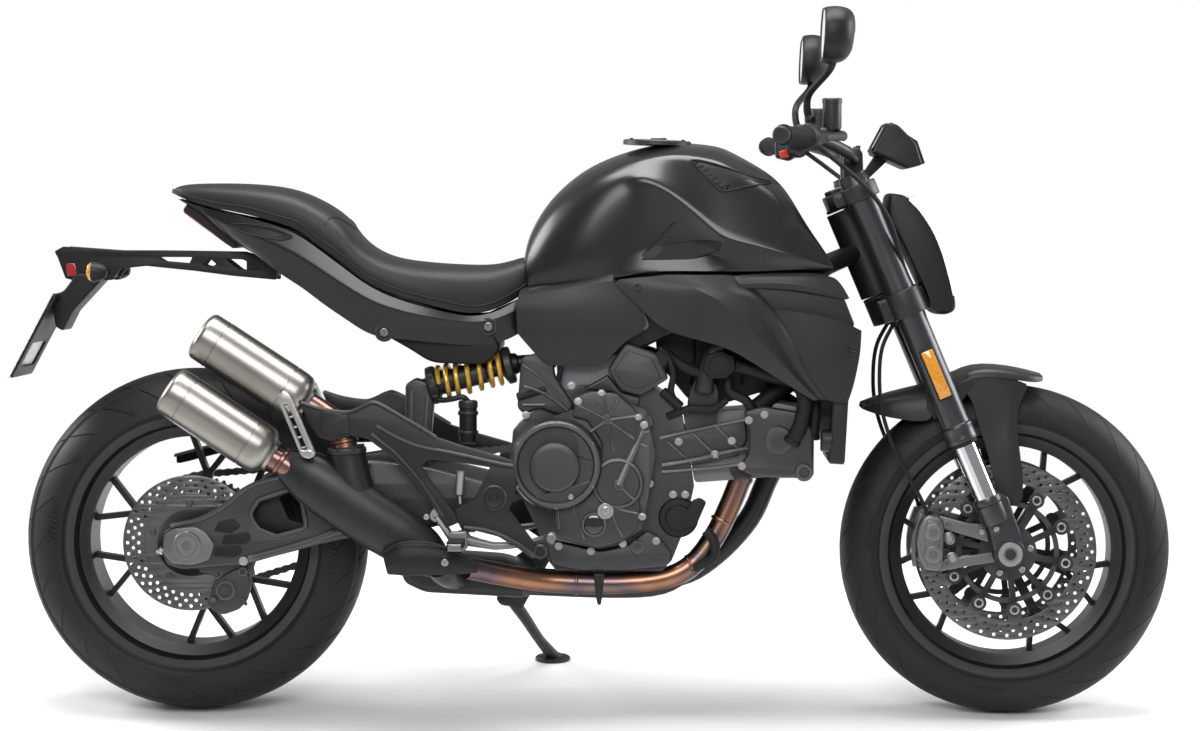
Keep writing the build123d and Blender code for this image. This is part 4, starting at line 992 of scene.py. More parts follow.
def make_rear_caliper():
    """The small two-pot caliper under the axle, its slide bracket, bolts and bleed screw."""
    parts = [
        side_plate([(32, 205), (44, 192), (62, 186), (90, 196), (104, 212), (112, 240), (108, 258), (84, 270),
                    (44, 246)], -112, -97, bevel=3, corner=6),
        side_plate([(34, 206), (62, 190), (102, 212), (108, 254), (84, 266), (46, 244)], -88, -72, bevel=3, corner=6),
        side_plate([(78, 268), (108, 256), (112, 240), (96, 236)], -98, -87, bevel=1),
        side_plate([(20, 262), (84, 262), (118, 258), (112, 296), (30, 345), (-24, 338)], -107, -100, bevel=1.5,
                   holes=[circle(0, REAR_AXLE_Z, 13, 32)]),
        lathe([(18, 0), (18, 5), (16, 6.5), (12, 6.5), (11, 5), (7, 5), (6.5, 7), (3, 7)], (66, -112, 231), TO_RIGHT,
              36),
    ]
    for x, z in ((97, 265), (101, 286)):
        parts.append(lathe([(9, -2), (9, 5), (8, 6), (5, 6), (4.5, 3)], (x, -110, z), TO_RIGHT, 24))
    parts += [rod_part((96, -112, 216), (104, -122, 206), 3.4), rod_part((44, -112, 214), (44, -119, 214), 6)]
    return joined(parts)


piece("rear_caliper_body", [make_rear_caliper()], "chassis", "grey_casting", material=CASTING,
      replaces=["rear_caliper"])

# ---------------------------------------------------------------- shrouds and radiator
def sheet(lines, steps=3, thickness=3.0, creases=()):
    """A shell over lines of points that all have the same count; creases name lines that stay sharp."""
    rows = [smooth_line(line, steps) for line in lines]
    width, last = len(rows[0]), len(rows) - 1
    sharp = [((i * width + j, i * width + j + 1), 1.0) for i in (*creases, 0, last) for j in range(width - 1)]
    sharp += row_creases(rows, (0, width - 1))
    return shaped(grid(rows), levels=1, creases=sharp, thickness=thickness)


def make_shroud():
    """The swept shroud of one side: a fluted fin, an upper beak and a plain front panel."""
    sweep = [
        [(762, -138, 786), (800, -141, 752), (850, -146, 706), (905, -150, 687), (970, -152, 668),
         (1040, -153, 626), (1119, -152, 577)],
        [(775, -139, 792), (838, -146, 770), (893, -153, 735), (937, -157, 702), (985, -158, 674),
         (1048, -157, 630), (1121, -153, 578)],
        [(860, -140, 800), (905, -156, 777), (950, -166, 755), (990, -169, 718), (1034, -168, 672),
         (1075, -164, 628), (1126, -155, 579)],
        [(925, -140, 800), (960, -150, 779), (1003, -156, 752), (1040, -157, 706), (1068, -157, 660),
         (1096, -156, 618), (1131, -153, 580)],
        [(960, -140, 800), (990, -152, 778), (1037, -165, 744), (1066, -167, 698), (1090, -165, 652),
         (1112, -161, 612), (1138, -154, 579)],
        [(990, -139, 800), (1012, -148, 778), (1046, -156, 742), (1076, -159, 699), (1100, -160, 652),
         (1120, -157, 612), (1146, -152, 578)],
    ]
    front = [
        [(1043, -157, 741), (1073, -160, 699), (1098, -161, 652), (1118, -158, 612), (1143, -153, 578)],
        [(1090, -164, 736), (1112, -165, 694), (1130, -163, 648), (1142, -159, 609), (1156, -153, 575)],
        [(1165, -163, 722), (1172, -162, 680), (1174, -160, 640), (1172, -156, 604), (1170, -152, 573)],
        [(1203, -152, 702), (1201, -152, 665), (1195, -152, 630), (1188, -152, 600), (1179, -151, 573)],
        [(1203, -140, 699), (1201, -141, 664), (1195, -142, 630), (1187, -143, 601), (1178, -144, 575)],
    ]
    beak = [
        [(985, -150, 776), (1035, -156, 777), (1090, -160, 773), (1140, -157, 764), (1178, -150, 756)],
        [(985, -153, 784), (1035, -160, 786), (1090, -164, 783), (1138, -160, 773), (1181, -150, 760)],
        [(980, -148, 792), (1035, -154, 796), (1088, -157, 794), (1130, -155, 788), (1172, -148, 776)],
        [(975, -141, 799), (1030, -145, 803), (1085, -147, 804), (1125, -147, 803), (1160, -144, 794)],
    ]
    parts = [
        sheet(sweep, creases=(1, 2, 3, 4)),
        sheet(front, creases=(3,)),
        sheet(beak, creases=(1, 2)),
        side_plate([(990, 796), (1150, 790), (1172, 760), (1190, 715), (1176, 600), (1130, 590), (1040, 720)], -149,
                   -146, bevel=0.8),
    ]
    for k in range(3):
        parts.append(tube([(1180 + k * 0.6, -161.5, 676 - 7 * k), (1190 + k * 0.6, -158, 671 - 7 * k)], 1.4, 8))
    return joined(parts)


SHROUD = make_shroud()
piece("shroud_panels", [both(SHROUD)], "chassis", "black_plastic", material=GREY_PLASTIC,
      replaces=["radiator_shrouds"], sharp=24)
shroud_bolts = [bolt((805, -147, 780), TO_RIGHT, 6.5, 4), bolt((1170, -153.5, 590), TO_RIGHT, 4, 3)]
piece("shroud_bolts", [both(joined(shroud_bolts))], "chassis", "steel", material=BLACK_METAL)
heat_shield = side_plate([(842, 640), (836, 700), (850, 762), (1060, 772), (1104, 748), (1112, 712), (1088, 640),
                          (1040, 590), (962, 566), (900, 570)], -46, -42, bevel=1.5, corner=14)
shield_ribs = [tube([(x, -47, 600), (x + 6, -48, 650), (x + 2, -47, 740)], 3, 8, 3) for x in (902, 948, 994, 1040)]
piece("heat_shields", [both(joined([heat_shield] + shield_ribs))], "chassis", "black_plastic")


def make_radiator():
    """The core with its fins and flat tubes between two plain side tanks, and the fan ring behind."""
    tilt = Vector((12, 0, 220)).normalized()
    out = Vector((tilt.z, 0, -tilt.x))
    base = Vector((1163, 0, 464))

    def place(u, y, w):
        return base + out * u + tilt * w + ACROSS * y

    half, fan_w = 118, 120
    wide = (-half, half)
    core = [box((-12, 12), wide, (8 + 3 * k, 8 + 3 * k + 0.7), place) for k in range(69)]
    for k in range(20):
        y = -half + k * 2 * half / 19
        core.append(box((-9, 9), (y - 1.3, y + 1.3), (4, 216), place))
    core.append(box((-2, 2), wide, (4, 216), place))
    tank = shaped(box((-16, 12), (-144, -117), (0, 219), place), bevel=5, segments=3)
    shell = [tank, mirrored(tank), *(shaped(box((-14, 12), wide, ws, place), bevel=2) for ws in ((-2, 6), (213, 220))),
             lathe([(20, 0), (20, 16), (17, 18), (14, 18)], place(-14, -128, 40), -out, 28),
             lathe([(88, 0), (88, 34), (80, 36), (80, 4), (78, 0)], place(-14, 0, fan_w), -out, 48)]
    for k in range(7):
        turn = math.tau * k / 7
        u = Vector((0, math.cos(turn), math.sin(turn)))
        v = Vector((0, -math.sin(turn), math.cos(turn)))
        blade = []
        for r, width, lean in ((20, 12, 12), (76, 26, 7)):
            for s in (-1, 1):
                corner = u * r + v * (s * width)
                blade.append(place(-30 + s * lean, corner.y, fan_w + corner.z))
        shell.append(shaped((blade, [(0, 1, 3, 2)]), thickness=2))
    shell.append(lathe([(24, 0), (24, 20), (20, 24)], place(-18, 0, fan_w), -out, 32))
    return joined(core), joined(shell)


radiator_core, radiator_frame = make_radiator()
piece("radiator_core", [radiator_core], "chassis", "black_casting", material=BLACK_METAL, replaces=["radiator"])
piece("radiator_tanks", [radiator_frame], "chassis", "black_casting", material=GREY_PLASTIC)


# ---------------------------------------------------------------- side covers under the tank
def make_airbox_cover():
    """The cover of one side: a bowed panel with a stepped edge, and ribs along its lower part."""
    lines = [
        [(596, -56, 778), (650, -82, 786), (705, -96, 796), (765, -108, 808)],
        [(594, -112, 760), (650, -121, 768), (705, -127, 779), (762, -129, 788)],
        [(590, -116, 748), (650, -126, 750), (710, -131, 757), (800, -130, 757)],
        [(590, -116, 720), (650, -127, 716), (720, -132, 714), (835, -127, 706)],
        [(592, -114, 695), (650, -124, 686), (715, -128, 683), (790, -124, 686)],
        [(615, -110, 668), (655, -118, 660), (700, -120, 662), (765, -118, 664)],
        [(640, -106, 642), (665, -110, 638), (700, -112, 636), (742, -110, 636)],
    ]
    parts = [sheet(lines, creases=(1, 2, 4))]
    for k in range(3):
        z = 672 - 9 * k
        parts.append(tube([(635 + 7 * k, -116.5 + 2 * k, z), (680, -122 + 2 * k, z - 2), (735, -120 + 2 * k, z - 1)],
                          2.2, 8))
    return joined(parts)


piece("side_covers", [both(make_airbox_cover())], "chassis", "black_plastic", material=GREY_PLASTIC,
      replaces=["airbox_covers"], sharp=24)
airbox = [(600, 772), (760, 812), (980, 812), (1000, 740), (860, 690), (800, 660), (700, 650), (640, 690)]
piece("airbox_body", [side_plate(airbox, -100, 100, bevel=8, corner=12)], "chassis", "black_plastic")


# ---------------------------------------------------------------- fuel cap and tank trim
CAP_MIDDLE = Vector((840, 0, 1041))
CAP_TILT = math.radians(2)
CAP_AXIS = Vector((math.sin(CAP_TILT), 0, math.cos(CAP_TILT)))


def make_fuel_cap():
    """The lid of a flush race-style cap, with its key flap."""
    return [lathe([(44, -6), (44, 0), (42.5, 1.6), (33, 2.2), (31, 1.2), (20, 1.2), (19, 2.2), (4, 2.4)],
                  CAP_MIDDLE, CAP_AXIS, 72),
            side_plate([(828, 1042), (828, 1046.2), (856, 1046.6), (858, 1042)], -9, 9, bevel=1.2)]


piece("fuel_cap_lid", make_fuel_cap(), "fuel_cap", "black_casting", replaces=["fuel_cap"])


def make_cap_ring():
    """The ring that the cap closes on, and its six screws."""
    side, other = ring_frame(CAP_AXIS)
    ring = [lathe([(62, -8), (62, -1), (60, 1), (48, 1.6), (46, 0.6), (45.2, -8)], CAP_MIDDLE, CAP_AXIS, 72)]
    for k in range(6):
        a = math.radians(30 + 60 * k)
        place = CAP_MIDDLE + (side * math.cos(a) + other * math.sin(a)) * 54 + CAP_AXIS * 1.2
        ring.append(bolt(place, CAP_AXIS, 3.4, 2.2, turns=18))
    return ring


piece("fuel_cap_ring", make_cap_ring(), "chassis", "black_casting", material=BLACK_METAL)


def on_tank(outline, lift, thickness):
    """A thin trim plate with a soft edge, laid on the tank's right side and following its surface."""
    shape = rounded(outline, 3, 3)
    middle = (sum(p[0] for p in shape) / len(shape), sum(p[1] for p in shape) / len(shape))
    rings = [[TANK_SKIN.side(a, b, lift + extra)[0] for a, b in scaled(shape, middle, scale)]
             for scale, extra in ((1.0, -thickness), (1.0, 0.0), (0.985, 0.8 * 0.7), (0.96, 0.8), (0.7, 0.8),
                                  (0.4, 0.8), (0.1, 0.8))]
    return grid(rings, wrap=True, cap=True)


def make_tank_trim():
    """One side's intake with its ribs and rim, the long lower seal, and the knee line with its plate."""
    intake = on_tank([(902, 1000), (958, 990), (1000, 976), (1042, 964), (960, 952), (930, 972)], 0.4, 2)
    ribs = []
    for k in range(7):
        t = k / 6
        start = (905 + 48 * t, 997 - 42 * t)
        ribs.append(tube(TANK_SKIN.line([start, (start[0] + 9, start[1] + 5)], 1.5, 2), 1.3, 8))
    rim = tube(TANK_SKIN.line([(900, 1004), (920, 1003), (960, 992), (1000, 977), (1045, 965), (1000, 957),
                               (957, 949), (928, 972), (900, 1004)], 0.6, 4), 1.5, 8)
    seal = tube(TANK_SKIN.line([(603, 759), (680, 776), (760, 793), (826, 805), (900, 803), (990, 802), (1080, 803),
                                (1150, 806)], 0.2, 6), 2.4, 8)
    knee = tube(TANK_SKIN.line([(814, 833), (829, 851), (871, 893)], 0.3, 5), 1.8, 8)
    lower = on_tank([(812, 826), (905, 828), (952, 843), (955, 858), (900, 862), (850, 864), (830, 850)], 0.5, 2)
    return joined([intake, rim, seal, knee, lower, *ribs])


piece("tank_trim", [both(make_tank_trim())], "chassis", "black_plastic")


def make_tank_nose():
    """One side's wall behind the head tube, in the tank's notch, and louvred cover down to the radiator."""
    wall = []
    for x, half, top in ((1034, 0, 984), (1046, 30, 974), (1066, 58, 953), (1099, 108, 888), (1129, 130, 846),
                         (1148, 139, 818)):
        wall.append([Vector((x, -half, top)), Vector((x + 3, -half, top * 0.6 + 322)), Vector((x + 4, -half, 804)),
                     Vector((x - 2, -half, 798))])
    cover = [[(x - 30, 0, z), (x - 26 - back, -30, z), (x - 6, -80, z), (x + 14, 16 - half, z),
              (x + 20, -half, z)]
             for x, half, z, back in ((1092, 144, 803, 0), (1122, 146, 764, 3), (1146, 147, 722, 4),
                                      (1158, 147, 690, 4), (1160, 147, 676, 0))]
    louvres = [tube([(x + 2, -86, z), (x + 12, -112, z), (x + 18, -136, z)], 2.4, 8, 3)
               for z, x in ((782, 1110), (762, 1126), (742, 1139), (722, 1149))]
    return joined([shaped(grid(wall), levels=2, thickness=3), sheet(cover), *louvres])


piece("tank_nose_cover", [both(make_tank_nose())], "chassis", "black_plastic")


# ---------------------------------------------------------------- exhaust
def squeezed(part, y, factor):
    """A part pressed flat across the machine around a middle plane."""
    return [Vector((p[0], y + (p[1] - y) * factor, p[2])) for p in part[0]], part[1]


def make_muffler(rear, front):
    """A brushed can with a stepped rear cap, its outlet bore, a front cone and rolled seams."""
    rear, front, r = Vector(rear), Vector(front), 46.0
    length = (front - rear).length
    profile = [(5, 60), (29, 58), (30.5, 3), (32.5, 0.4), (35, 0), (42, 3.5), (44.6, 7.5), (45.4, 12), (45.6, 33),
               (r, 33.6), (r, 37), (44.8, 37.6), (44.8, 39), (r, 39.6), (r, length - 41), (44.8, length - 40.4),
               (44.8, length - 38.6), (r, length - 38), (r - 0.5, length - 20), (44, length - 9),
               (38, length - 1), (31, length + 4), (29, length + 10), (5, length + 10)]
    return lathe(profile, rear, front - rear, 72)


mufflers = [make_muffler((-28, -163, 597), (149.5, -163, 480.3)), make_muffler((26, -140, 694), (211.5, -140, 573.3))]
piece("muffler_cans", mufflers, "chassis", "steel", replaces=["mufflers"])


def band(centre, direction, r, width, depth=3.0):
    """A rolled clamp round a pipe."""
    return lathe([(r, 0), (r + depth * 0.7, 0.6), (r + depth, 2), (r + depth, width - 2),
                  (r + depth * 0.7, width - 0.6), (r, width)], Vector(centre), direction, 40)


def make_headers():
    """The header pipe down the front and under the engine, the links to the cans, bands, and the flange."""
    front = [(1000, -62, 448), (990, -62, 425), (974, -64, 385), (946, -68, 328), (905, -74, 276), (850, -78, 250),
             (760, -82, 242), (650, -90, 246), (570, -112, 260), (505, -140, 276)]
    parts = [tube(front, 20, 20, 5)]
    down = Vector((-16, -2, -40))
    parts += [band((994, -62, 438), down, 19, 9, 4), band((960, -66, 358), (-22, -3, -50), 19.5, 6, 2),
              band((905, -74, 276), (-50, -5, -27), 19.5, 6, 2), band((700, -85, 243), (-1, 0, 0), 19.5, 7, 2.5)]
    link = [(205, -140, 577), (240, -141, 556), (268, -146, 535), (282, -152, 512), (288, -155, 488)]
    parts += [
        tube(link, 22, 20, 5),
        tube([(146, -163, 482), (180, -163, 462), (215, -163, 440)], 22, 20, 4),
        band((170, -163, 470), (1, 0, -0.66), 22, 9, 5),
        band((284, -153, 506), (0.2, -0.1, -1), 22, 8, 4),
    ]
    flange = shaped(side_plate(rounded([(970, 452), (978, 436), (1010, 434), (1022, 450)], 5), -96, -28, bevel=2))
    return parts, flange


headers, header_flange = make_headers()
piece("header_pipes", headers, "chassis", "header_steel", replaces=["exhaust_pipes"])


def make_dark_exhaust():
    """The painted mid pipe, its branch to the upper can, the collector and the rear cylinder's pipe."""
    mid = tube([(180, -163, 465), (198, -163, 455), (222, -163, 441), (262, -163, 414), (330, -163, 368),
                (385, -160, 334), (425, -156, 306), (452, -150, 285)], [28, 38, 47, 51, 51, 49, 43, 30], 36, 6)
    parts = [
        squeezed(mid, -160, 0.66),
        squeezed(tube([(288, -158, 494), (292, -158, 470), (300, -160, 430), (310, -160, 400)], [33, 34, 35, 35], 32,
                      4), -158, 0.85),
        band((289, -158, 492), (0.05, 0, -1), 33, 10, 2.5),
    ]
    collector = [(375, 278), (382, 240), (420, 222), (600, 213), (618, 222), (622, 262), (560, 282), (440, 290)]
    parts += [
        side_plate(collector, -72, 72, bevel=14, corner=12),
        tube([(452, -150, 285), (460, -120, 270), (470, -80, 258), (490, -50, 252)], 27, 20, 4),
    ]
    rear_pipe = [(1052, 30, 440), (1040, 30, 415), (1010, 28, 350), (950, 20, 285), (880, 10, 246), (760, 0, 236),
                 (640, 0, 240), (600, 0, 245)]
    parts += [
        tube(rear_pipe, 20, 18, 5),
        tube([(600, -84, 232), (760, -76, 226), (850, -72, 232), (905, -68, 262)], 11, 14, 4),
        header_flange,
        side_plate([(728, 262), (731, 224), (735, 206), (741, 206), (744, 224), (747, 262)], -106, -98, bevel=1.5,
                   corner=3),
        rod_part((738, -104, 214), (738, -70, 222), 4),
    ]
    return parts


piece("exhaust_mid_pipe", make_dark_exhaust(), "chassis", "black_casting")


def make_exhaust_shield():
    """The lower heat shield: a tapered scoop over the pipe with its raised lip."""
    body = tube([(360, -186, 290), (392, -186, 297), (430, -186, 298), (475, -184, 292), (524, -176, 280)],
                [22, 32, 31, 25, 9], 32, 6)
    body = squeezed(body, -182, 0.55)
    lip = tube([(352, -196, 306), (378, -199, 322), (405, -200, 328), (440, -198, 326), (482, -192, 312),
                (524, -180, 288)], 2.6, 10, 6)
    ring = lathe([(12, -2), (12, 4), (10, 5.5), (8, 5.5), (7.5, 2)], (467, -197, 292), TO_RIGHT, 32)
    return [body, lip, ring]


piece("shield_panel", make_exhaust_shield(), "chassis", "black_casting", material=PLASTIC,
      replaces=["exhaust_shield"])
piece("shield_bolts", [bolt((467, -199, 292), TO_RIGHT, 6.5, 4), bolt((434, -190, 372), TO_RIGHT, 5, 3)],
      "chassis", "steel", material=BOLT)


def make_hanger():
    """The folded passenger peg of one side: two polished bars with a slot between them."""
    outline = rounded([(170, 584), (181, 597), (195, 588), (240, 482), (228, 474), (214, 479)], 6, 3)
    slot = rounded([(183, 573), (190, 572), (224, 493), (216, 490)], 3, 3)
    plate = side_plate(outline, -204, -190, [slot], bevel=2.5)
    ribs = [tube([(184 + 7.5 * k, -197, 566 - 18 * k), (191 + 7.5 * k, -197, 568 - 18 * k)], 2.2, 8) for k in range(5)]
    pivot = rod_part((228, -206, 484), (228, -166, 484), 7)
    return joined([plate, pivot, *ribs])


piece("passenger_pegs", [both(make_hanger())], "chassis", "steel", material=BOLT)


# ---------------------------------------------------------------- peg brackets
def make_peg_bracket():
    """The cast bracket of one side: a forked beam, a foot plate, raised edges and the boss of the pivot."""
    beam = [(208, 574), (240, 563), (285, 556), (302, 558), (330, 572), (348, 572), (400, 543), (450, 513),
            (500, 497), (560, 480), (588, 470), (588, 452), (565, 456), (490, 468), (438, 472), (424, 462),
            (445, 428), (482, 380), (489, 360), (470, 352), (448, 384), (405, 440), (365, 482), (330, 508),
            (300, 514), (262, 505), (240, 512), (222, 540)]
    foot = [(489, 360), (484, 384), (518, 402), (536, 440), (548, 464), (588, 456), (592, 420), (580, 384),
            (612, 342), (640, 306), (622, 297), (590, 318), (560, 336), (520, 346), (498, 342)]
    parts = [side_plate(beam, -180, -168, bevel=3), side_plate(foot, -179, -167, bevel=3)]
    edges = [[(210, 573), (245, 562), (285, 556), (304, 559), (330, 571), (348, 571), (400, 542), (450, 512)],
             [(345, 532), (380, 512), (420, 496), (480, 484), (560, 466), (586, 462)],
             [(335, 518), (380, 482), (425, 430), (462, 372)], [(500, 352), (545, 346), (590, 326), (626, 302)]]
    for line in edges:
        parts.append(squeezed(tube([(x, -180, z) for x, z in line], 4, 10, 4), -180, 0.9))
    parts += [
        side_plate([(248, 560), (296, 552), (298, 520), (262, 512), (246, 522)], -184, -178, bevel=2, corner=5),
        lathe([(23, -6), (23, 4), (21, 6), (18.5, 6), (17.5, 3), (8, 2), (6, 3.5)], (553, -178, 405), TO_RIGHT, 48),
        lathe([(13, -4), (13, 6), (11, 8), (7, 8), (6, 5)], (635, -176, 310), TO_RIGHT, 32),
    ]
    return joined(parts)


piece("peg_bracket_castings", [both(make_peg_bracket())], "chassis", "black_casting", material=BLACK_METAL,
      replaces=["peg_brackets"])


def make_pegs():
    """One of the rider's pegs: the rubber ribs, then the body with its clevis and pin."""
    rib_outline = [(474, 322), (474, 334), (502, 334), (502, 322)]
    ribs = [side_plate(rib_outline, y - 2.6, y + 2.6, bevel=1) for y in (-192 - 8.2 * k for k in range(9))]
    metal = [side_plate([(476, 318), (476, 331), (500, 331), (500, 318)], -262, -182, bevel=3),
             side_plate([(472, 344), (504, 346), (506, 316), (496, 308), (478, 308)], -186, -166, bevel=3),
             rod_part((488, -196, 326), (488, -164, 326), 5)]
    return joined(ribs), joined(metal)


peg_rubber, peg_metal = make_pegs()
piece("peg_rubbers", [both(peg_rubber)], "chassis", "rubber", replaces=["footpegs"])
piece("peg_bodies", [both(peg_metal)], "chassis", "steel", material=GREY_METAL)


# ---------------------------------------------------------------- engine
def rib(points, y, r=3.0):
    """A rounded rib cast on the engine's right side."""
    return squeezed(tube([(x, y, z) for x, z in points], r, 8, 2), y, 1.4)


def make_right_engine():
    """The cast covers of the right side: clutch, ribbed case, water pump side, strut and sight glass."""
    clutch = Vector((661, -118, 461))
    parts = [
        lathe([(84, -6), (84, 6), (80, 20), (78.5, 29), (75, 32), (70, 32), (67.5, 29), (66.5, 21), (45, 19)],
              clutch, TO_RIGHT, 96),
        lathe([(45, 12), (44.5, 30), (43, 33.5), (39, 35.5), (33, 36), (4, 36.6)],
              clutch + Vector((-2, 0, -4)), TO_RIGHT, 80),
        side_plate(arc(661, 461, 68, range(238, 337, 7)), -146, -132, bevel=1.2),
        side_plate([*arc(661, 461, 67, range(8, 66, 6)), (699, 500), (700, 478)], -145, -134, bevel=1.2),
    ]
    case = [(690, 545), (697, 582), (722, 592), (770, 588), (806, 556), (818, 540), (806, 500), (792, 470),
            (800, 452), (816, 425), (810, 398), (812, 372), (800, 340), (776, 322), (736, 312), (700, 320),
            (664, 330), (656, 352), (658, 392), (690, 410), (738, 440), (742, 500), (715, 540)]
    parts.append(side_plate(case, -127, -96, bevel=4, corner=8))
    hub = (752, 541)
    for x, z in ((702, 566), (726, 582), (746, 586), (772, 578), (804, 548), (800, 508), (764, 484), (722, 520)):
        parts.append(rib([hub, ((hub[0] + x) / 2, (hub[1] + z) / 2), (x, z)], -127, 2.6))
    parts += [
        lathe([(9, -2), (9, 3), (7, 4.5), (3, 4.5)], (752, -126, 541), TO_RIGHT, 32),
        lathe([(47, -6), (47, 4), (44.5, 8), (40, 9), (38, 6), (4, 5)], (771, -124, 427), TO_RIGHT, 72),
        rib([(771, 427), (800, 399)], -132, 2.2),
    ]
    for line in ([(692, 384), (702, 355), (713, 326)], [(762, 372), (770, 352), (780, 332)], [(770, 382), (806, 374)],
                 [(664, 384), (666, 345)]):
        parts.append(rib(line, -127, 2.4))
    parts += [
        lathe([(23, -2), (23, 4), (21.5, 6), (18, 6), (17, 3)], (729, -126, 353), TO_RIGHT, 48),
        tube([(822, -112, 538), (772, -131, 424)], 7.5, 20, 2, straight=True),
        lathe([(12, 0), (12, 8), (10, 10), (4, 10)], (822, -104, 538), TO_RIGHT, 28),
        lathe([(10, 0), (10, 8), (8, 10), (4, 10)], (772, -126, 424), TO_RIGHT, 28),
    ]
    lower = [(642, 316), (660, 322), (700, 312), (740, 303), (790, 314), (822, 340), (845, 330), (868, 300), (862, 276),
             (790, 268), (700, 268), (652, 278)]
    parts += [
        side_plate(lower, -104, -80, bevel=5, corner=8),
        lathe([(13, -2), (13, 4), (11, 6), (4, 5)], (806, -104, 311), TO_RIGHT, 32),
    ]
    rear = [(597, 650), (634, 662), (656, 646), (657, 620), (692, 566), (688, 548), (662, 548), (630, 560),
            (604, 548), (590, 560), (594, 610)]
    parts.append(side_plate(rear, -104, -72, bevel=5, corner=8))
    for line in ([(600, 638), (640, 610), (684, 560)], [(602, 600), (640, 586), (680, 556)],
                 [(600, 566), (640, 566)]):
        parts.append(rib(line, -105, 2.8))
    return parts


piece("engine_right_covers", make_right_engine(), "chassis", "grey_casting")


def make_engine_cylinders_trim():
    """Cast bands, ribs and bosses on both sides of the two cylinders."""
    block = [(846, 508), (905, 522), (952, 532), (1000, 540), (1004, 505), (990, 476), (930, 462), (850, 448)]
    parts = [side_plate(block, -92, -74, bevel=4, corner=6)]
    for x0, z0, x1, z1 in ((860, 500, 905, 460), (905, 516, 952, 470), (948, 528, 992, 482)):
        parts.append(rib([(x0, z0), (x1, z1)], -93, 2.6))
    parts.append(rib([(846, 506), (900, 519), (998, 540)], -93, 3.4))
    head = [(996, 556), (1030, 566), (1094, 556), (1122, 520), (1120, 452), (1080, 436), (1010, 440), (986, 452),
            (1004, 480), (1006, 520)]
    parts += [
        side_plate(head, -114, -96, bevel=6, corner=8),
        lathe([(16, -2), (16, 6), (14, 8), (9, 8), (8, 5)], (1104, -113, 447), TO_RIGHT, 36),
        lathe([(26, -2), (26, 4), (23, 7), (5, 8)], (1058, -113, 505), TO_RIGHT, 48),
        rib([(850, 458), (920, 470), (1000, 488), (1060, 470)], -96, 4.0),
        rib([(850, 446), (930, 452), (1010, 462)], -94, 3.4),
    ]
    rear_head = [(752, 630), (783, 678), (842, 659), (862, 614), (812, 583), (776, 590)]
    parts.append(side_plate(rear_head, -112, -92, bevel=6, corner=7))
    inner = [(764, 630), (788, 664), (832, 650), (848, 616), (810, 596), (782, 602)]
    parts.append(side_plate(inner, -115, -110, bevel=2, corner=6))
    barrel = [(700, 590), (752, 620), (778, 590), (812, 580), (806, 552), (760, 588), (720, 592)]
    parts.append(side_plate(barrel, -96, -74, bevel=4, corner=4))
    return joined(parts)


piece("cylinder_castings", [both(make_engine_cylinders_trim())], "chassis", "grey_casting")

RIGHT_BOLTS = [
    (688, -126, 602), (742, -126, 588), (700, -127, 574), (606, -106, 548), (807, -126, 545), (818, -127, 532),
    (632, -106, 307), (665, -106, 312), (723, -106, 303), (780, -106, 317), (840, -106, 322), (945, -99, 478),
    (993, -116, 458), (1005, -116, 540), (1033, -116, 550), (975, -98, 502), (828, -104, 425), (815, -127, 368),
    (870, -96, 405), (892, -96, 405), (818, -106, 480), (880, -96, 500),
]


def make_engine_bolts():
    """The bright flange bolts of the right side, with the washer bolt and the sight glass rim."""
    parts = [bolt(place, TO_RIGHT, 5.2, 4.6, socket=False) for place in RIGHT_BOLTS]
    parts += [
        lathe([(14.5, -2), (14.5, 4), (13.5, 5), (8, 5), (8, 11), (7, 12), (4, 12), (3.6, 8)], (749, -128, 378),
              TO_RIGHT, 36),
        bolt((688, -146, 404), TO_RIGHT, 5, 3.5),
    ]
    parts += [bolt((661 + a, -144, 461 + b), TO_RIGHT, 3.6, 5, turns=18) for a, b in around(75, 6, 30)]
    return parts


piece("engine_bolts", make_engine_bolts(), "chassis", "steel", material=BOLT)
piece("sight_glass", [lathe([(17, 0), (17, 3), (14, 4.2), (3, 4.6)], (729, -127, 353), TO_RIGHT, 40)], "chassis",
      "screen_glass")


def make_left_engine():
    """The left side's case ribs, guessed from the type."""
    case = [(640, 520), (700, 585), (770, 590), (815, 545), (822, 430), (806, 340), (720, 305), (660, 330),
            (640, 420)]
    flip = [side_plate(case, -114, -90, bevel=5, corner=10)]
    for x, z in ((700, 572), (770, 565), (806, 500), (806, 420), (796, 350), (700, 322)):
        flip.append(rib([(690, 445), ((690 + x) / 2, (445 + z) / 2), (x, z)], -114, 3))
    return [mirrored(joined(flip))]


piece("engine_left_case", make_left_engine(), "chassis", "grey_casting")


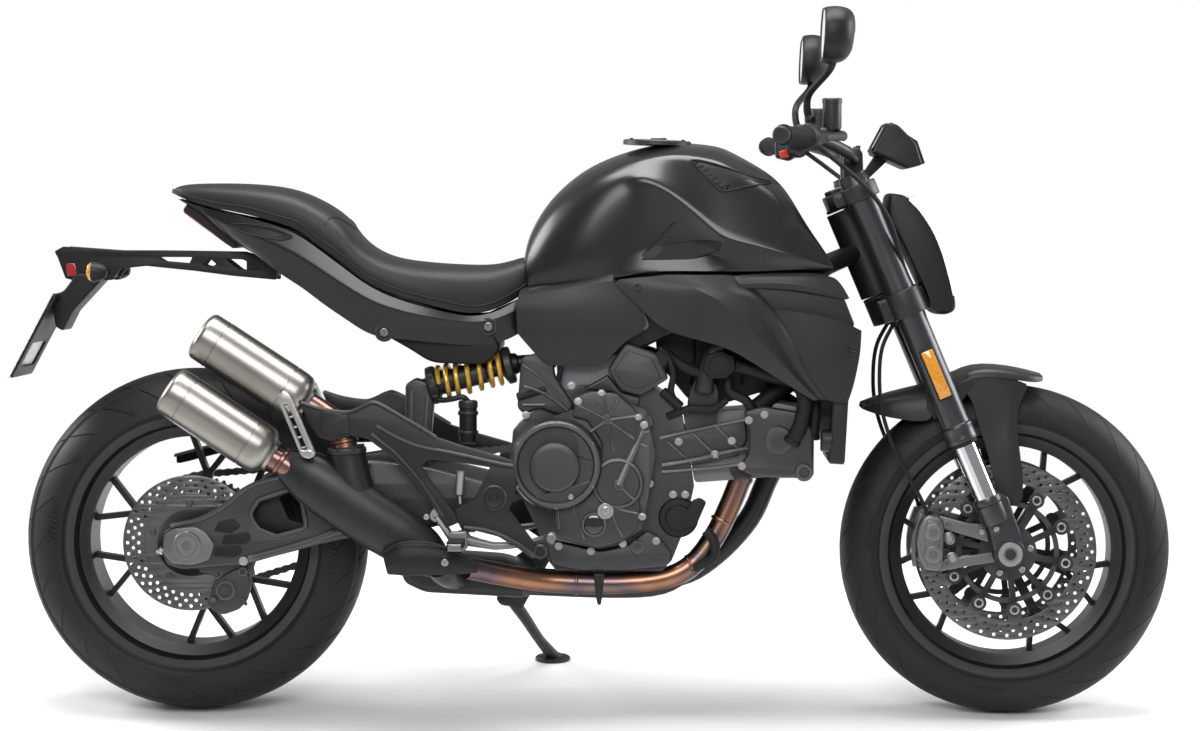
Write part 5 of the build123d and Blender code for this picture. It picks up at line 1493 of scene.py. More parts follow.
def make_engine_dark_parts():
    """Hoses, the pump, the thermostat housing, cables and plugs around the engine."""
    parts = [
        lathe([(36, -20), (36, 10), (33, 14), (24, 16), (22, 20), (12, 21)], (880, -84, 363), TO_RIGHT, 48),
        side_plate([(885, 360), (897, 345), (912, 350), (930, 392), (918, 400), (905, 395)], -106, -94, bevel=3,
                   corner=4),
        shaped(side_plate([(922, 630), (930, 658), (955, 665), (978, 655), (982, 630), (965, 615), (935, 614)], -118,
                          -70, bevel=4)),
        side_plate([(932, 632), (938, 652), (955, 657), (970, 650), (973, 632), (960, 622), (940, 621)], -122, -117,
                   bevel=1.5),
    ]
    hoses = [
        ([(858, -80, 655), (880, -96, 640), (905, -100, 628), (925, -96, 622)], 10),
        ([(980, -92, 638), (1010, -96, 630), (1050, -96, 618), (1100, -84, 604)], 13),
        ([(968, -90, 616), (972, -98, 590), (1000, -100, 575), (1015, -98, 545), (1018, -90, 500)], 9),
        ([(1100, -122, 600), (1104, -124, 570), (1096, -122, 530), (1080, -116, 500)], 14),
        ([(1122, -96, 590), (1124, -104, 555), (1120, -100, 505)], 10),
        ([(846, -98, 668), (862, -104, 650), (870, -106, 620), (866, -100, 590), (880, -92, 560)], 6),
        ([(690, -92, 690), (700, -104, 672), (672, -104, 640), (664, -98, 610)], 5),
        ([(930, -96, 340), (945, -100, 318), (940, -96, 290), (900, -84, 268)], 9),
        ([(860, -90, 545), (900, -104, 560), (940, -106, 560), (965, -100, 575)], 7),
        ([(1020, -70, 560), (1060, -60, 590), (1110, -40, 620)], 16),
        ([(860, 60, 640), (920, 92, 630), (1010, 96, 600), (1090, 90, 560), (1120, 84, 520)], 13),
        ([(700, 90, 640), (760, 100, 690), (850, 104, 690), (930, 96, 650)], 6),
    ]
    for line, r in hoses:
        parts.append(tube(line, r, 14, 6))
    for line, r in hoses[:2] + hoses[3:5]:
        for at, to in ((0, 1), (-1, -2)):
            start = Vector(line[at])
            parts.append(band(start, Vector(line[to]) - start, r, 9, 2))
    parts += [
        rod_part((590, -98, 578), (642, -98, 594), 9),
        rod_part((850, -100, 592), (884, -100, 562), 9),
        lathe([(16, 0), (16, 10), (12, 14), (5, 14)], (848, -96, 648), TO_RIGHT, 32),
    ]
    return parts


piece("engine_hoses", make_engine_dark_parts(), "chassis", "rubber")


# ---------------------------------------------------------------- fork, yokes and axle
FORK_GREY = grained("fork_grey", (0.06, 0.06, 0.064), 0.3, metallic=0.75, grain=0.15, scale=500, variation=0.1)
FORK_PLANE = Matrix(((FORK_FORWARD.x, 0, FORK_UP.x, 0), (0, 1, 0, 0), (FORK_FORWARD.z, 0, FORK_UP.z, 0),
                     (0, 0, 0, 1)))


def in_fork(part):
    """A part drawn with u forward, v to the left and w up the legs, set into the fork."""
    return moved(part, Matrix.Translation(FRONT_AXLE) @ FORK_PLANE)


def leg_lathe(profile, turns=48):
    """A turned shape round the right leg; profile distances are heights up the leg."""
    return lathe(profile, fork(0, -LEG_Y, 0), FORK_UP, turns)


outer_leg = leg_lathe([(22.5, 217), (27, 217.5), (29, 219), (29.6, 222), (29.6, 226), (29, 228), (29, 243),
                       (29.6, 245), (29.6, 248), (28.4, 250.5), (27.2, 252), (26.4, 262), (26.4, 452), (27, 458),
                       (27, 520), (26.4, 526), (26.4, 676), (27, 682), (27, 728), (25.4, 731), (25, 735.5),
                       (20, 736), (19, 733), (12, 733)])
cap_nut = leg_lathe([(11, 731), (11, 735), (9.5, 736), (3, 736)], 24)
piece("fork_outer_tubes", [both(outer_leg), both(cap_nut)], "steering", "black_casting", material=FORK_GREY,
      replaces=["fork_tubes"])
inner_leg = leg_lathe([(21.4, 90), (21.4, 216), (20, 218)])
piece("fork_chrome_tubes", [both(inner_leg)], "steering", "chrome", replaces=["fork_sliders"])
seal = leg_lathe([(21.6, 211), (25, 211.5), (26, 213), (26, 217), (24, 217.6), (21.6, 217.6)])
piece("fork_seals", [both(seal)], "steering", "rubber")


def make_fork_foot():
    """The cast foot of one leg: a socket for the tube, a waisted arm, the axle clamp and its pinch bolts."""
    foot = [(1426, 388), (1436, 402), (1452, 412), (1470, 404), (1478, 378), (1492, 340), (1500, 308), (1496, 284),
            (1476, 273), (1454, 280), (1446, 300), (1440, 326), (1430, 362)]
    parts = [
        side_plate(foot, -108, -80, bevel=6, corner=5),
        leg_lathe([(20, 96), (25.5, 97), (27, 99), (27, 108), (26, 110), (22, 110.5)]),
        leg_lathe([(24, 60), (26, 70), (26.5, 96), (25, 97)]),
        lathe([(26, 0), (27.5, 2), (27.5, 29), (26, 31), (14, 31)], (WHEELBASE, -78, FRONT_AXLE_Z), TO_RIGHT, 48),
    ]
    for x, z in ((1440, 372), (1448, 346)):
        parts.append(lathe([(9, -3), (9, 5), (7, 6), (4, 6)], (x, -106, z), TO_RIGHT, 24))
    return joined(parts)


piece("fork_feet", [both(make_fork_foot())], "steering", "black_casting", material=FORK_GREY)
axle_ring = lathe([(21.5, 0), (21.5, 2.5), (20, 3.6), (13.5, 3.6), (12.5, 2), (10.6, 2), (10.2, -12)],
                  (WHEELBASE, -108.6, FRONT_AXLE_Z), TO_RIGHT, 56)
foot_bolts = [axle_ring, bolt((1440, -111, 372), TO_RIGHT, 4.6, 3), bolt((1448, -111, 346), TO_RIGHT, 4.6, 3)]
caliper_bolts = [bolt((1366, -88, 328), TO_RIGHT, 6, 4), bolt((1372, -88, 292), TO_RIGHT, 6, 4),
                 bolt((1425, -86, 338), TO_RIGHT, 5, 4)]
piece("front_end_bolts", [both(joined(foot_bolts + caliper_bolts))], "steering", "steel", material=BOLT)


def yoke_outline(clamp_r, stem_r, waist):
    """Half turns round both legs and the stem, joined by waisted edges."""
    right = [(b, -LEG_Y - a) for a, b in (polar(clamp_r, angle) for angle in range(70, -111, -20))]
    left = [(b, LEG_Y + a) for a, b in (polar(clamp_r, angle) for angle in range(-110, 71, 20))]
    front = [(waist, 50), (waist, -50)]
    back = [(-31 - stem_r * 0.8, -stem_r * 0.9), (-31 - stem_r, 0), (-31 - stem_r * 0.8, stem_r * 0.9)]
    return right + back + left + front


def make_yoke(w_low, w_high, clamp_r, stem_r, waist):
    """A bevelled clamp plate with split lugs behind the legs and bores for the tubes."""
    middle = (w_low + w_high) / 2
    plate = flat(yoke_outline(clamp_r, stem_r, waist), [circle(0, -LEG_Y, 27.3, 48), circle(0, LEG_Y, 27.3, 48)],
                 w_high - w_low, 2.5, Matrix.Translation((0, 0, middle)))
    lug = shaped(side_plate([(-46, w_low + 3), (-46, w_high - 3), (-26, w_high - 3), (-26, w_low + 3)], -112, -82,
                            bevel=4))
    heights = (w_low + 12, w_high - 12) if w_high - w_low >= 40 else (middle,)
    bolts = [bolt((-38, side * 111, w), (0, side, 0), 5, 4) for w in heights for side in (-1, 1)]
    return in_fork(joined([plate, lug, mirrored(lug), *bolts]))


def stem_ring(profile, **how):
    """A turned shape round the steering stem; profile distances are heights up the fork."""
    return in_fork(lathe(profile, (STEM_U, 0, 0), UPWARD, **how))


bottom = make_yoke(464, 512, 35, 32, 30)
lamp_arms = both(side_plate([(1296, 772), (1318, 742), (1337, 739), (1340, 760), (1330, 786)], -40, -28, bevel=2))
low_seal = stem_ring([(22, 511), (32, 511), (32, 514.6), (30, 515.4), (22, 515.4)])
piece("bottom_yoke_casting", [bottom, lamp_arms, low_seal], "steering", "black_casting", replaces=["bottom_yoke"])
top = make_yoke(688, 716, 36, 30, 26)
top_seal = stem_ring([(22, 684.6), (30, 684.6), (32, 685.4), (32, 690), (22, 690)])
stem_nut = stem_ring([(22, 715), (22, 722), (20, 724), (14, 724), (13, 720), (5, 720)], turns=36, hexed=(0, 1, 2))
piece("top_yoke_casting", [top, stem_nut, top_seal], "steering", "black_casting", replaces=["top_yoke"])


# An amber side reflector on its backing, clipped to the outer tube
reflector = in_fork(shaped(box((-11, 11), (-131, -125), (306, 396)), bevel=2))
reflector_back = in_fork(shaped(box((-13, 13), (-126, -119), (303, 399)), bevel=2))
piece("fork_reflectors", [both(reflector)], "steering", "amber_lens")
piece("fork_reflector_backs", [both(reflector_back)], "steering", "black_plastic")


# ---------------------------------------------------------------- front mudguard
def arch(x, half, edge, outer, outer_z, inner, inner_z, top):
    """Points over the machine from its right to its left: both edges, two shoulders a side, and the top."""
    right = [(half, edge), (half * outer, outer_z), (half * inner, inner_z)]
    return [(x, -y, z) for y, z in right] + [(x, 0, top)] + [(x, y, z) for y, z in reversed(right)]


def make_front_mudguard():
    """The front half over the tyre with its side blades, and the splash guard behind the fork."""
    stations = [(1366, 612, 592, 64), (1395, 630, 610, 66), (1430, 637, 618, 67), (1480, 632, 612, 66),
                (1515, 624, 606, 60), (1536, 618, 606, 42)]
    crown = [arch(x, half, side, 0.9, (top + side) / 2 + 3, 0.5, top - 3, top) for x, top, side, half in stations]
    parts = [sheet(crown, steps=2)]
    blade = [
        [(1372, -65, 606), (1404, -68, 580), (1420, -70, 530), (1436, -73, 480), (1447, -75, 435), (1460, -75, 393)],
        [(1430, -67, 617), (1466, -70, 568), (1454, -72, 512), (1454, -75, 470), (1459, -77, 425), (1466, -77, 390)],
        [(1480, -66, 612), (1481, -70, 566), (1474, -76, 512), (1475, -79, 470), (1480, -80, 425), (1481, -79, 389)],
        [(1512, -60, 605), (1491, -67, 560), (1490, -71, 515), (1495, -75, 470), (1499, -76, 425), (1499, -76, 394)],
    ]
    side = sheet(blade, creases=(1,))
    parts += [side, mirrored(side)]
    stations = [(1212, 566, 556, 18), (1240, 577, 546, 40), (1285, 589, 537, 58), (1336, 600, 534, 65)]
    rear = [arch(x, half, low, 0.96, (top + low) / 2, 0.7, top - 5, top) for x, top, low, half in stations]
    parts.append(sheet(rear, steps=2))
    bridge = side_plate([(1330, 602), (1360, 612), (1400, 626), (1410, 600), (1380, 560), (1340, 540), (1326, 560)],
                        -68, -62, bevel=1.5)
    parts += [bridge, mirrored(bridge)]
    for x, z in ((1216, 562), (1226, 562), (1236, 563)):
        pin = rod_part((x, -22, z), (x, -30, z), 4)
        parts += [pin, mirrored(pin)]
    return parts


piece("mudguard_shell", make_front_mudguard(), "steering", "black_plastic", material=GREY_PLASTIC,
      replaces=["front_mudguard"], sharp=28)


# ---------------------------------------------------------------- headlight and display
def make_headlight():
    """The lamp's housing, its dark front glass, and the light strip round the face with a guide a side."""
    profile = [(1256, 948), (1284, 944), (1308, 926), (1334, 886), (1352, 848), (1366, 800), (1377, 752),
               (1377, 734), (1362, 727), (1338, 728), (1326, 762), (1288, 842), (1252, 912)]
    middle = (1302, 838)
    right = [(95, 0.86), (93, 0.93), (86, 0.97), (60, 0.99)]
    shell = grid([[(x, half, z) for x, z in scaled(rounded(profile, 8, 3), middle, scale)]
                  for half, scale in (*right, (0, 1.0), *((-half, scale) for half, scale in reversed(right)))],
                 wrap=True, cap=True)
    front = [(1290, 930), (1316, 898), (1338, 856), (1354, 808), (1366, 756)]
    outer = smooth_line([(x + 1, 0, z + 1) for x, z in front], 5)
    rows = []
    for k, p in enumerate(outer):
        t = k / (len(outer) - 1)
        half = 80 + 10 * math.sin(math.pi * min(1, t * 1.1)) - 8 * t
        row = []
        for j in range(13):
            s = -1 + j / 6
            bulge = 8 * (1 - s * s)
            row.append(p + Vector((bulge * 0.9 + 3, half * s, bulge * 0.35 + 1.5)))
        rows.append(row)
    edge = [row[0] for row in rows] + rows[-1][1:-1] + [row[-1] for row in reversed(rows)] + rows[0][-2:0:-1]
    strip = tube([p + Vector((4, 0, 1.5)) for p in edge[::2]], 5.5, 12, 2, closed=True)
    guide = scaled([(1290, 941), (1312, 920), (1336, 884), (1353, 846), (1367, 800), (1376, 758)], middle, 0.935)
    guide = tube([(x, -93.5, z) for x, z in guide], [1.5, 2.8, 2.8, 2.8, 2.8, 1.5], 12, 5)
    return shell, grid(rows), joined([strip, both(guide)])


lamp_shell, lamp_face, lamp_strip = make_headlight()
piece("headlight_shell", [lamp_shell], "steering", "black_plastic", replaces=["headlight"])
piece("headlight_glass", [shaped(lamp_face, thickness=2)], "steering", "lamp_glass", material=SCREEN)
GLOW = lens("lamp_light_guide", (0.95, 0.97, 1.0), 0.2, glow=0.5)
piece("headlight_strip", [lamp_strip], "steering", "lamp_glass", material=GLOW)


def make_display():
    """The dash: a wedge shell, its bezel, the dark screen and the bracket to the top yoke."""
    shell = side_plate([(1226, 1018), (1256, 1074), (1272, 1068), (1304, 1036), (1316, 997), (1290, 990)], -75, 75,
                       bevel=6, corner=6)
    along = Vector((30, 0, 57)).normalized()
    out = Vector((-along.z, 0, along.x))
    base = Vector((1226, 0, 1018))
    place = tilted_plane(base, along, out)
    bezel = flat(rounded([(-66, 4), (-66, 60), (66, 60), (66, 4)], 8),
                 [rounded([(-58, 11), (-58, 53), (58, 53), (58, 11)], 5)], 5, 1, place @ Matrix.Translation((0, 0, 1)))
    glass = flat(rounded([(-60, 9), (-60, 55), (60, 55), (60, 9)], 5), (), 3, 0.5,
                 place @ Matrix.Translation((0, 0, 0.5)))
    bracket = side_plate([(1200, 962), (1238, 1020), (1262, 1010), (1218, 968)], -14, 14, bevel=2)
    ribs = [side_plate([(1280, 1058), (1304, 1034), (1315, 998), (1322, 1000), (1308, 1040)], y - 2, y + 2, bevel=0.8)
            for y in (-50, -25, 0, 25, 50)]
    return [shell, bezel, bracket, *ribs], glass


display_parts, display_glass = make_display()
piece("display_shell", display_parts, "steering", "black_plastic", replaces=["display"])
piece("display_screen", [display_glass], "steering", "screen_glass")


# ---------------------------------------------------------------- handlebar, controls and mirrors
BAR_END = Vector((1054, -370, 1041))
BAR_IN = (Vector((1118, -210, 1040)) - BAR_END).normalized()


def on_bar(distance):
    """A point on the right straight of the bar, a distance in from its end."""
    return BAR_END + BAR_IN * distance


bar_half = [(1054, 370, 1041), (1086, 290, 1040.5), (1118, 210, 1040), (1150, 165, 1030), (1182, 122, 1015),
            (1193, 60, 1008)]
bar_line = [(x, -y, z) for x, y, z in bar_half] + [(1193, 0, 1008)] + bar_half[::-1]
riser = side_plate([(1176, 953), (1174, 1020), (1182, 1027), (1204, 1028), (1210, 1018), (1212, 968)], -50, -28,
                   bevel=3)
riser_cap = [bolt((x, y, z), (0.1, 0, 1), 4, 4) for x, z in ((1184, 1027), (1202, 1028)) for y in (-33, -45)]
piece("handlebar_tube", [tube(bar_line, 11, 18, 5), both(joined([riser, *riser_cap]))], "steering", "black_casting",
      replaces=["handlebar"])


def make_grip():
    """A grip with rings and small ribs."""
    profile = [(12, -1), (18, 0), (18.5, 3), (16.4, 5)]
    for k in range(18):
        d = 8 + k * 5.8
        profile += [(16.4, d), (15.5, d + 0.6), (15.5, d + 1.8), (16.4, d + 2.4)]
    profile += [(16.4, 113), (19, 114), (19, 118), (12, 118.5)]
    return lathe(profile, on_bar(0), BAR_IN, 32)


weight = lathe([(5, -14), (12.5, -14), (15, -12), (15, -3), (13, -1), (8, -1)], on_bar(0), BAR_IN, 32)
piece("grip_sleeves", [both(make_grip())], "steering", "rubber", replaces=["grips"])


def make_controls():
    """Both sides' bar-end weights, switch housings, levers, lever perches, reservoirs and small buttons."""
    parts = [both(weight)]
    side = lathe([(20, 119), (23.5, 121), (24, 124), (24, 143), (22, 145), (12, 145)], on_bar(0), BAR_IN, 32)
    perch = lathe([(16, 147), (19, 148), (19, 160), (16, 161)], on_bar(0), BAR_IN, 28)
    housing = shaped(side_plate([(1064, 1016), (1062, 1046), (1082, 1060), (1108, 1052), (1110, 1022),
                                 (1090, 1010)], -264, -240, bevel=5, corner=5))
    lever = tube([on_bar(153) + Vector((16, 0, 4)), on_bar(150) + Vector((40, 0, 4)), on_bar(128) + Vector((62, 0, 2)),
                  on_bar(80) + Vector((64, 0, 0)), on_bar(30) + Vector((62, 0, -2)), on_bar(-2) + Vector((70, 0, -4))],
                 [8, 8, 7, 5.5, 5.5, 7.5], 14, 5)
    lever = ([Vector((p[0], p[1], 1041 + (p[2] - 1041) * 1.25)) for p in lever[0]], lever[1])
    foot = on_bar(153) + Vector((34, 0, 6))
    body = tube([on_bar(153) + Vector((0, 0, 4)), on_bar(150) + Vector((20, 0, 6)), foot + Vector((0, 0, 4))],
                [13, 14, 12], 16, 4)
    cup = lathe([(11, 0), (15.5, 3), (16.5, 8), (16.5, 48), (15, 49)], foot + Vector((0, 0, 6)), UPWARD, 32)
    lid = lathe([(17.6, 0), (17.6, 7), (16, 9), (8, 9.4)], foot + Vector((0, 0, 54)), UPWARD, 32)
    socket = lathe([(10, 0), (10, 12), (8.5, 15), (6, 16)], on_bar(153) + Vector((-4, 0, 12)), UPWARD, 24)
    parts += [both(joined([side, perch, housing, lever, body, cup, lid, socket]))]
    for x, z in ((1072, 1052), (1090, 1056)):
        pin = shaped(side_plate([(x - 5, z - 2), (x - 5, z + 5), (x + 5, z + 5), (x + 5, z - 2)], -258, -247,
                                bevel=1.5))
        parts.append(both(pin))
    return parts


piece("bar_controls", make_controls(), "steering", "black_casting", replaces=["hand_controls"])
KILL_RED = grained("kill_red", (0.45, 0.02, 0.015), 0.4, grain=0.2)
piece("kill_switch", [shaped(side_plate([(1054, 1004), (1052, 1016), (1066, 1020), (1068, 1006)], -262, -248,
                                        bevel=2))], "steering", "red_lens", material=KILL_RED)


def make_mirror():
    """One mirror: a bowed six-sided shell with a rim, its ball joint and bent stalk, and the glass behind."""
    outline = rounded([(-324, 1184), (-322, 1226), (-352, 1258), (-460, 1252), (-490, 1226), (-486, 1186),
                       (-452, 1164), (-352, 1160)], 18, 4)
    middle = (-406, 1209)
    rows = []
    for x, scale in ((1122.5, 0.87), (1119.5, 0.875), (1118, 0.9), (1118, 0.935), (1119.6, 0.965), (1123, 0.985),
                     (1130, 0.998), (1138, 1.0), (1146, 0.98), (1154, 0.935), (1160, 0.87), (1165, 0.77),
                     (1168.5, 0.62), (1170.4, 0.42), (1171.2, 0.2), (1171.4, 0.05)):
        rows.append([Vector((x + (z - middle[1]) * 0.04, a, b + (x - 1119) * 0.02))
                     for (_, z), (a, b) in zip(outline, scaled(outline, middle, scale))])
    shell = grid(rows, wrap=True, cap=True)
    root = on_bar(153) + Vector((-4, 0, 27))
    stalk = tube([root, root + Vector((-6, -6, 24)), root + Vector((-2, -26, 50)), Vector((1132, -350, 1150)),
                  Vector((1140, -372, 1172))], [7, 6.5, 6.2, 6.2, 7.5], 16, 6)
    collar = lathe([(9, 0), (10, 2), (10, 9), (8, 12)], root, UPWARD, 24)
    inner = scaled(outline, middle, 0.88)
    glass = grid([[Vector((x + (z - middle[1]) * 0.04, y, z)) for y, z in inner] for x in (1122, 1119.6)],
                 wrap=True, cap=True)
    return joined([shell, stalk, collar]), glass


mirror_shell, mirror_glass = make_mirror()
piece("mirror_shells", [both(mirror_shell)], "steering", "black_plastic", replaces=["mirrors"], sharp=60)
MIRROR = brushed("mirror_glass", (0.75, 0.75, 0.77), 0.05, stretch=(0.02, 0.02, 0.02))
piece("mirror_glasses", [both(mirror_glass)], "steering", "chrome", material=MIRROR)


def make_hoses():
    """Brake hoses with end fittings, and the cables that run from the bar to the frame's head."""
    right = [(1267, -60, 713), (1246, -70, 670), (1240, -82, 620), (1244, -90, 560), (1262, -93, 500), (1292, -93, 440),
             (1314, -92, 400), (1328, -92, 368)]
    parts = [both(tube(right, 3.6, 10, 6))]
    cable = [(1112, -216, 1032), (1160, -196, 996), (1212, -160, 952), (1252, -128, 900), (1272, -112, 840),
             (1290, -96, 780), (1290, -70, 736), (1276, -60, 716)]
    parts.append(both(tube(cable, 4.2, 10, 8)))
    fittings = [rod_part((1326, -92, 376), (1331, -92, 362), 6), rod_part((1264, -60, 722), (1268, -60, 706), 6)]
    parts.append(both(joined(fittings)))
    return parts


piece("hoses_and_cables", make_hoses(), "steering", "rubber", replaces=["brake_hoses"])


# ---------------------------------------------------------------- swingarm and rear axle
ARM = [(-46, 300), (-44, 338), (-20, 352), (20, 362), (60, 382), (100, 415), (150, 436), (230, 452), (330, 468),
       (430, 455), (530, 430), (570, 402), (548, 374), (480, 354), (400, 342), (300, 330), (240, 316), (150, 292),
       (100, 278), (-10, 269), (-38, 278)]
ARM_WINDOW = [(112, 370), (128, 396), (190, 416), (206, 392), (214, 346), (160, 330), (126, 344)]


def make_arm(inner, outer):
    """One arm of the swingarm: the plate, a raised rim, a lower flange, a black wall inside its window that is painted
    shade, and three black patches.
    """
    low, high = sorted((inner, outer))
    out = -1 if outer < 0 else 1
    parts = [side_plate(ARM, low + 1.5, high - 1.5, [rounded(ARM_WINDOW, 8)], bevel=6, corner=8)]
    top = [(-30, 348), (20, 360), (62, 382), (102, 414), (150, 434), (232, 449), (330, 462)]
    parts.append(squeezed(tube([(x, outer, z) for x, z in top], 4.5, 10, 5), outer, 0.7))
    lower = [(110, 290), (160, 303), (222, 322), (262, 338), (300, 346)]
    parts.append(squeezed(tube([(x, outer, z) for x, z in lower], 6.5, 10, 5), outer, 0.6))
    rim = rounded(ARM_WINDOW, 10)[::2]
    parts.append(squeezed(tube([(x, outer - out, z) for x, z in rim], 4, 8, 2, closed=True), outer, 0.6))
    # Painted shade: the inner wall seen through the window is drawn in black plastic, darker than the casting round it.
    wall = side_plate([(108, 350), (116, 392), (160, 420), (222, 420), (232, 340), (180, 322)],
                      *sorted((inner, inner + out * 3)), [rounded([(162, 398), (186, 416), (206, 392), (212, 350),
                                                                  (180, 358)], 3)], bevel=0.5)
    # Three black patches laid on the outer face, darker than the casting.
    patches = []
    for outline in ([(48, 340), (56, 356), (84, 362), (96, 348), (78, 336)],
                    [(62, 316), (66, 332), (110, 338), (114, 326), (104, 316)],
                    [(48, 294), (50, 310), (94, 312), (98, 300), (84, 292)]):
        patches.append(side_plate(outline, *sorted((outer - out * 2, outer + out * 1.5)), bevel=0.8, corner=4))
    return joined(parts), joined([wall, *patches])


right_arm, right_shade_and_patches = make_arm(-108, -132)
left_arm, left_shade_and_patches = make_arm(116, 136)
cross = side_plate([(336, 350), (336, 434), (412, 426), (412, 352)], -108, 116, bevel=12, corner=10)
tower = side_plate([(385, 410), (425, 410), (438, 572), (428, 604), (404, 612), (386, 600)], -68, -34, bevel=5,
                   corner=6)
tower_ribs = [squeezed(tube([(394, -68, 430), (398, -68, 590)], 4, 8, 2), -68, 0.8),
              squeezed(tube([(416, -68, 430), (426, -68, 580)], 4, 8, 2), -68, 0.8)]
piece("swingarm_castings", [right_arm, left_arm, cross, tower, *tower_ribs], "chassis", "black_casting",
      material=CASTING, replaces=["swingarm"])
# The black walls of painted shade inside the windows, and the black patches.
piece("swingarm_shade_and_patches", [right_shade_and_patches, left_shade_and_patches], "chassis", "black_plastic")

block = [(-44, 302), (-40, 332), (-24, 344), (16, 348), (34, 338), (50, 316), (40, 288), (10, 279), (-28, 281)]
axle_end = [
    side_plate(block, -139, -131, bevel=2, corner=6),
    lathe([(26, 0), (26, 2), (24, 4), (18, 4), (16.5, 2.4), (9.5, 2.4), (9, 0), (8.6, -8)], (0, -138, REAR_AXLE_Z),
          TO_RIGHT, 48),
]
left_end = [
    side_plate(block, 135, 143, bevel=2, corner=6),
    lathe([(21, 0), (21, 7), (19, 9), (9.5, 9), (8.8, 7), (8.6, 0)], (0, 137, REAR_AXLE_Z), TO_LEFT, 48,
          hexed=(0, 1, 2)),
]
piece("rear_axle_blocks", axle_end + left_end, "chassis", "grey_casting", material=GREY_METAL)
adjusters = []
for y in (-120, 126):
    adjusters += [rod_part((-58, y, 300), (-40, y, 304), 4),
                  bolt((-48, y, 302), (-1, 0, -0.2), 6, 5, socket=False)]
piece("chain_adjusters", adjusters + [bolt((101, -134, 286), TO_RIGHT, 6, 5, socket=False)], "chassis", "steel",
      material=BOLT)


# ---------------------------------------------------------------- chain, sprockets and guard
def chain_path(count):
    """Evenly spaced pins round both sprockets."""
    rear, front = Vector((0, 0, REAR_AXLE_Z)), Vector((640, 0, 440))
    r_rear, r_front = 108.75, 38.18
    gap = front - rear
    heading = math.atan2(gap.z, gap.x)
    lean = math.acos((r_rear - r_front) / gap.length)
    line = []
    for k in range(61):
        a = heading + lean + (math.tau - 2 * lean) * k / 60
        line.append(rear + Vector((math.cos(a), 0, math.sin(a))) * r_rear)
    for k in range(31):
        a = heading - lean + 2 * lean * k / 30
        line.append(front + Vector((math.cos(a), 0, math.sin(a))) * r_front)
    line.append(line[0])
    lengths = [0.0]
    for a, b in zip(line, line[1:]):
        lengths.append(lengths[-1] + (b - a).length)
    pins, i = [], 0
    for k in range(count):
        wanted = lengths[-1] * k / count
        while lengths[i + 1] < wanted:
            i += 1
        t = (wanted - lengths[i]) / (lengths[i + 1] - lengths[i])
        pins.append(line[i].lerp(line[i + 1], t))
    return pins


def make_chain():
    """Inner and outer links with waisted plates, and their rollers."""
    pins = chain_path(110)
    parts = []
    for k, start in enumerate(pins):
        end = pins[(k + 1) % len(pins)]
        along = (end - start).normalized()
        up = Vector((-along.z, 0, along.x))
        outline = []
        for centre, turn in ((end, -90), (start, 90)):
            for a in range(turn, turn + 181, 45):
                outline.append(centre + (along * math.cos(math.radians(a)) + up * math.sin(math.radians(a))) * 7)
            middle = (start + end) / 2
            outline.append(middle + up * (5 if turn == -90 else -5))
        offset = 6.6 if k % 2 else 4.4
        for y in (offset, -offset):
            ring = [[Vector((p.x, CHAIN_Y + y + s, p.z)) for p in outline] for s in (-0.9, 0.9)]
            parts.append(grid(ring, wrap=True, cap=True))
        for r, width, turns in ((4.6, 8.4, 10), (2.4, 17, 8)):
            parts.append(lathe([(r, 0), (r, width)], (start.x, CHAIN_Y - width / 2, start.z), TO_LEFT, turns))
    return joined(parts)


piece("chain_links", [make_chain()], "chassis", "steel", material=CHAIN, replaces=["chain"])
teeth = [polar(r, 360 * k / 43 + a) for k in range(43)
         for r, a in ((96.5, 0), (97.5, 1.6), (102.2, 3.0), (102.2, 5.4), (97.5, 6.8))]
lightening = [circle(a, b, 9, 20) for a, b in around(82, 6)]
lightening += [rounded([polar(r, 60 * k + 30 + a) for r, a in ((66, -16), (90, -11), (90, 11), (66, 16))], 4)
               for k in range(6)]
sprocket = [flat(teeth, [circle(0, 0, 40, 48)] + lightening, 5, 0.5,
                 Matrix.Translation((0, CHAIN_Y, REAR_AXLE_Z)) @ side_plane(0), resolution=1),
            lathe([(40, -19), (57, -19), (58, -17), (58, -4), (56, -2), (44, 4), (34, 5), (30, 4), (30, -19)],
                  (0, CHAIN_Y - 2, REAR_AXLE_Z), TO_LEFT, 64)]
sprocket += [bolt((a, CHAIN_Y + 2.6, REAR_AXLE_Z + b), TO_LEFT, 5.5, 5, socket=False)
             for a, b in around(52, 6, 30)]
piece("sprocket_wheel", sprocket, "rear_wheel", "steel", material=GREY_METAL, replaces=["rear_sprocket"])
guard_rows = [[(x, y, z + rise) for y, rise in ((94, -1), (98, 2), (108, 3), (117, 1), (122, -6), (122, -16))]
              for x, z in ((-60, 455), (-20, 466), (60, 487), (150, 493), (250, 497), (332, 498))]
piece("chain_guard_shell", [sheet(guard_rows, steps=2, thickness=2.5)], "chassis", "black_plastic",
      replaces=["chain_guard"])
front_guard = side_plate([(590, 396), (578, 440), (584, 476), (612, 500), (648, 500), (684, 470), (690, 420),
                          (660, 384), (620, 380)], 93, 124, bevel=6, corner=12)
piece("sprocket_cover", [front_guard], "chassis", "black_casting", material=CASTING)


# ---------------------------------------------------------------- shock
SHOCK_START = Vector((405, -50, 590))
SHOCK_DIRECTION = (Vector((592, -50, 640)) - SHOCK_START).normalized()


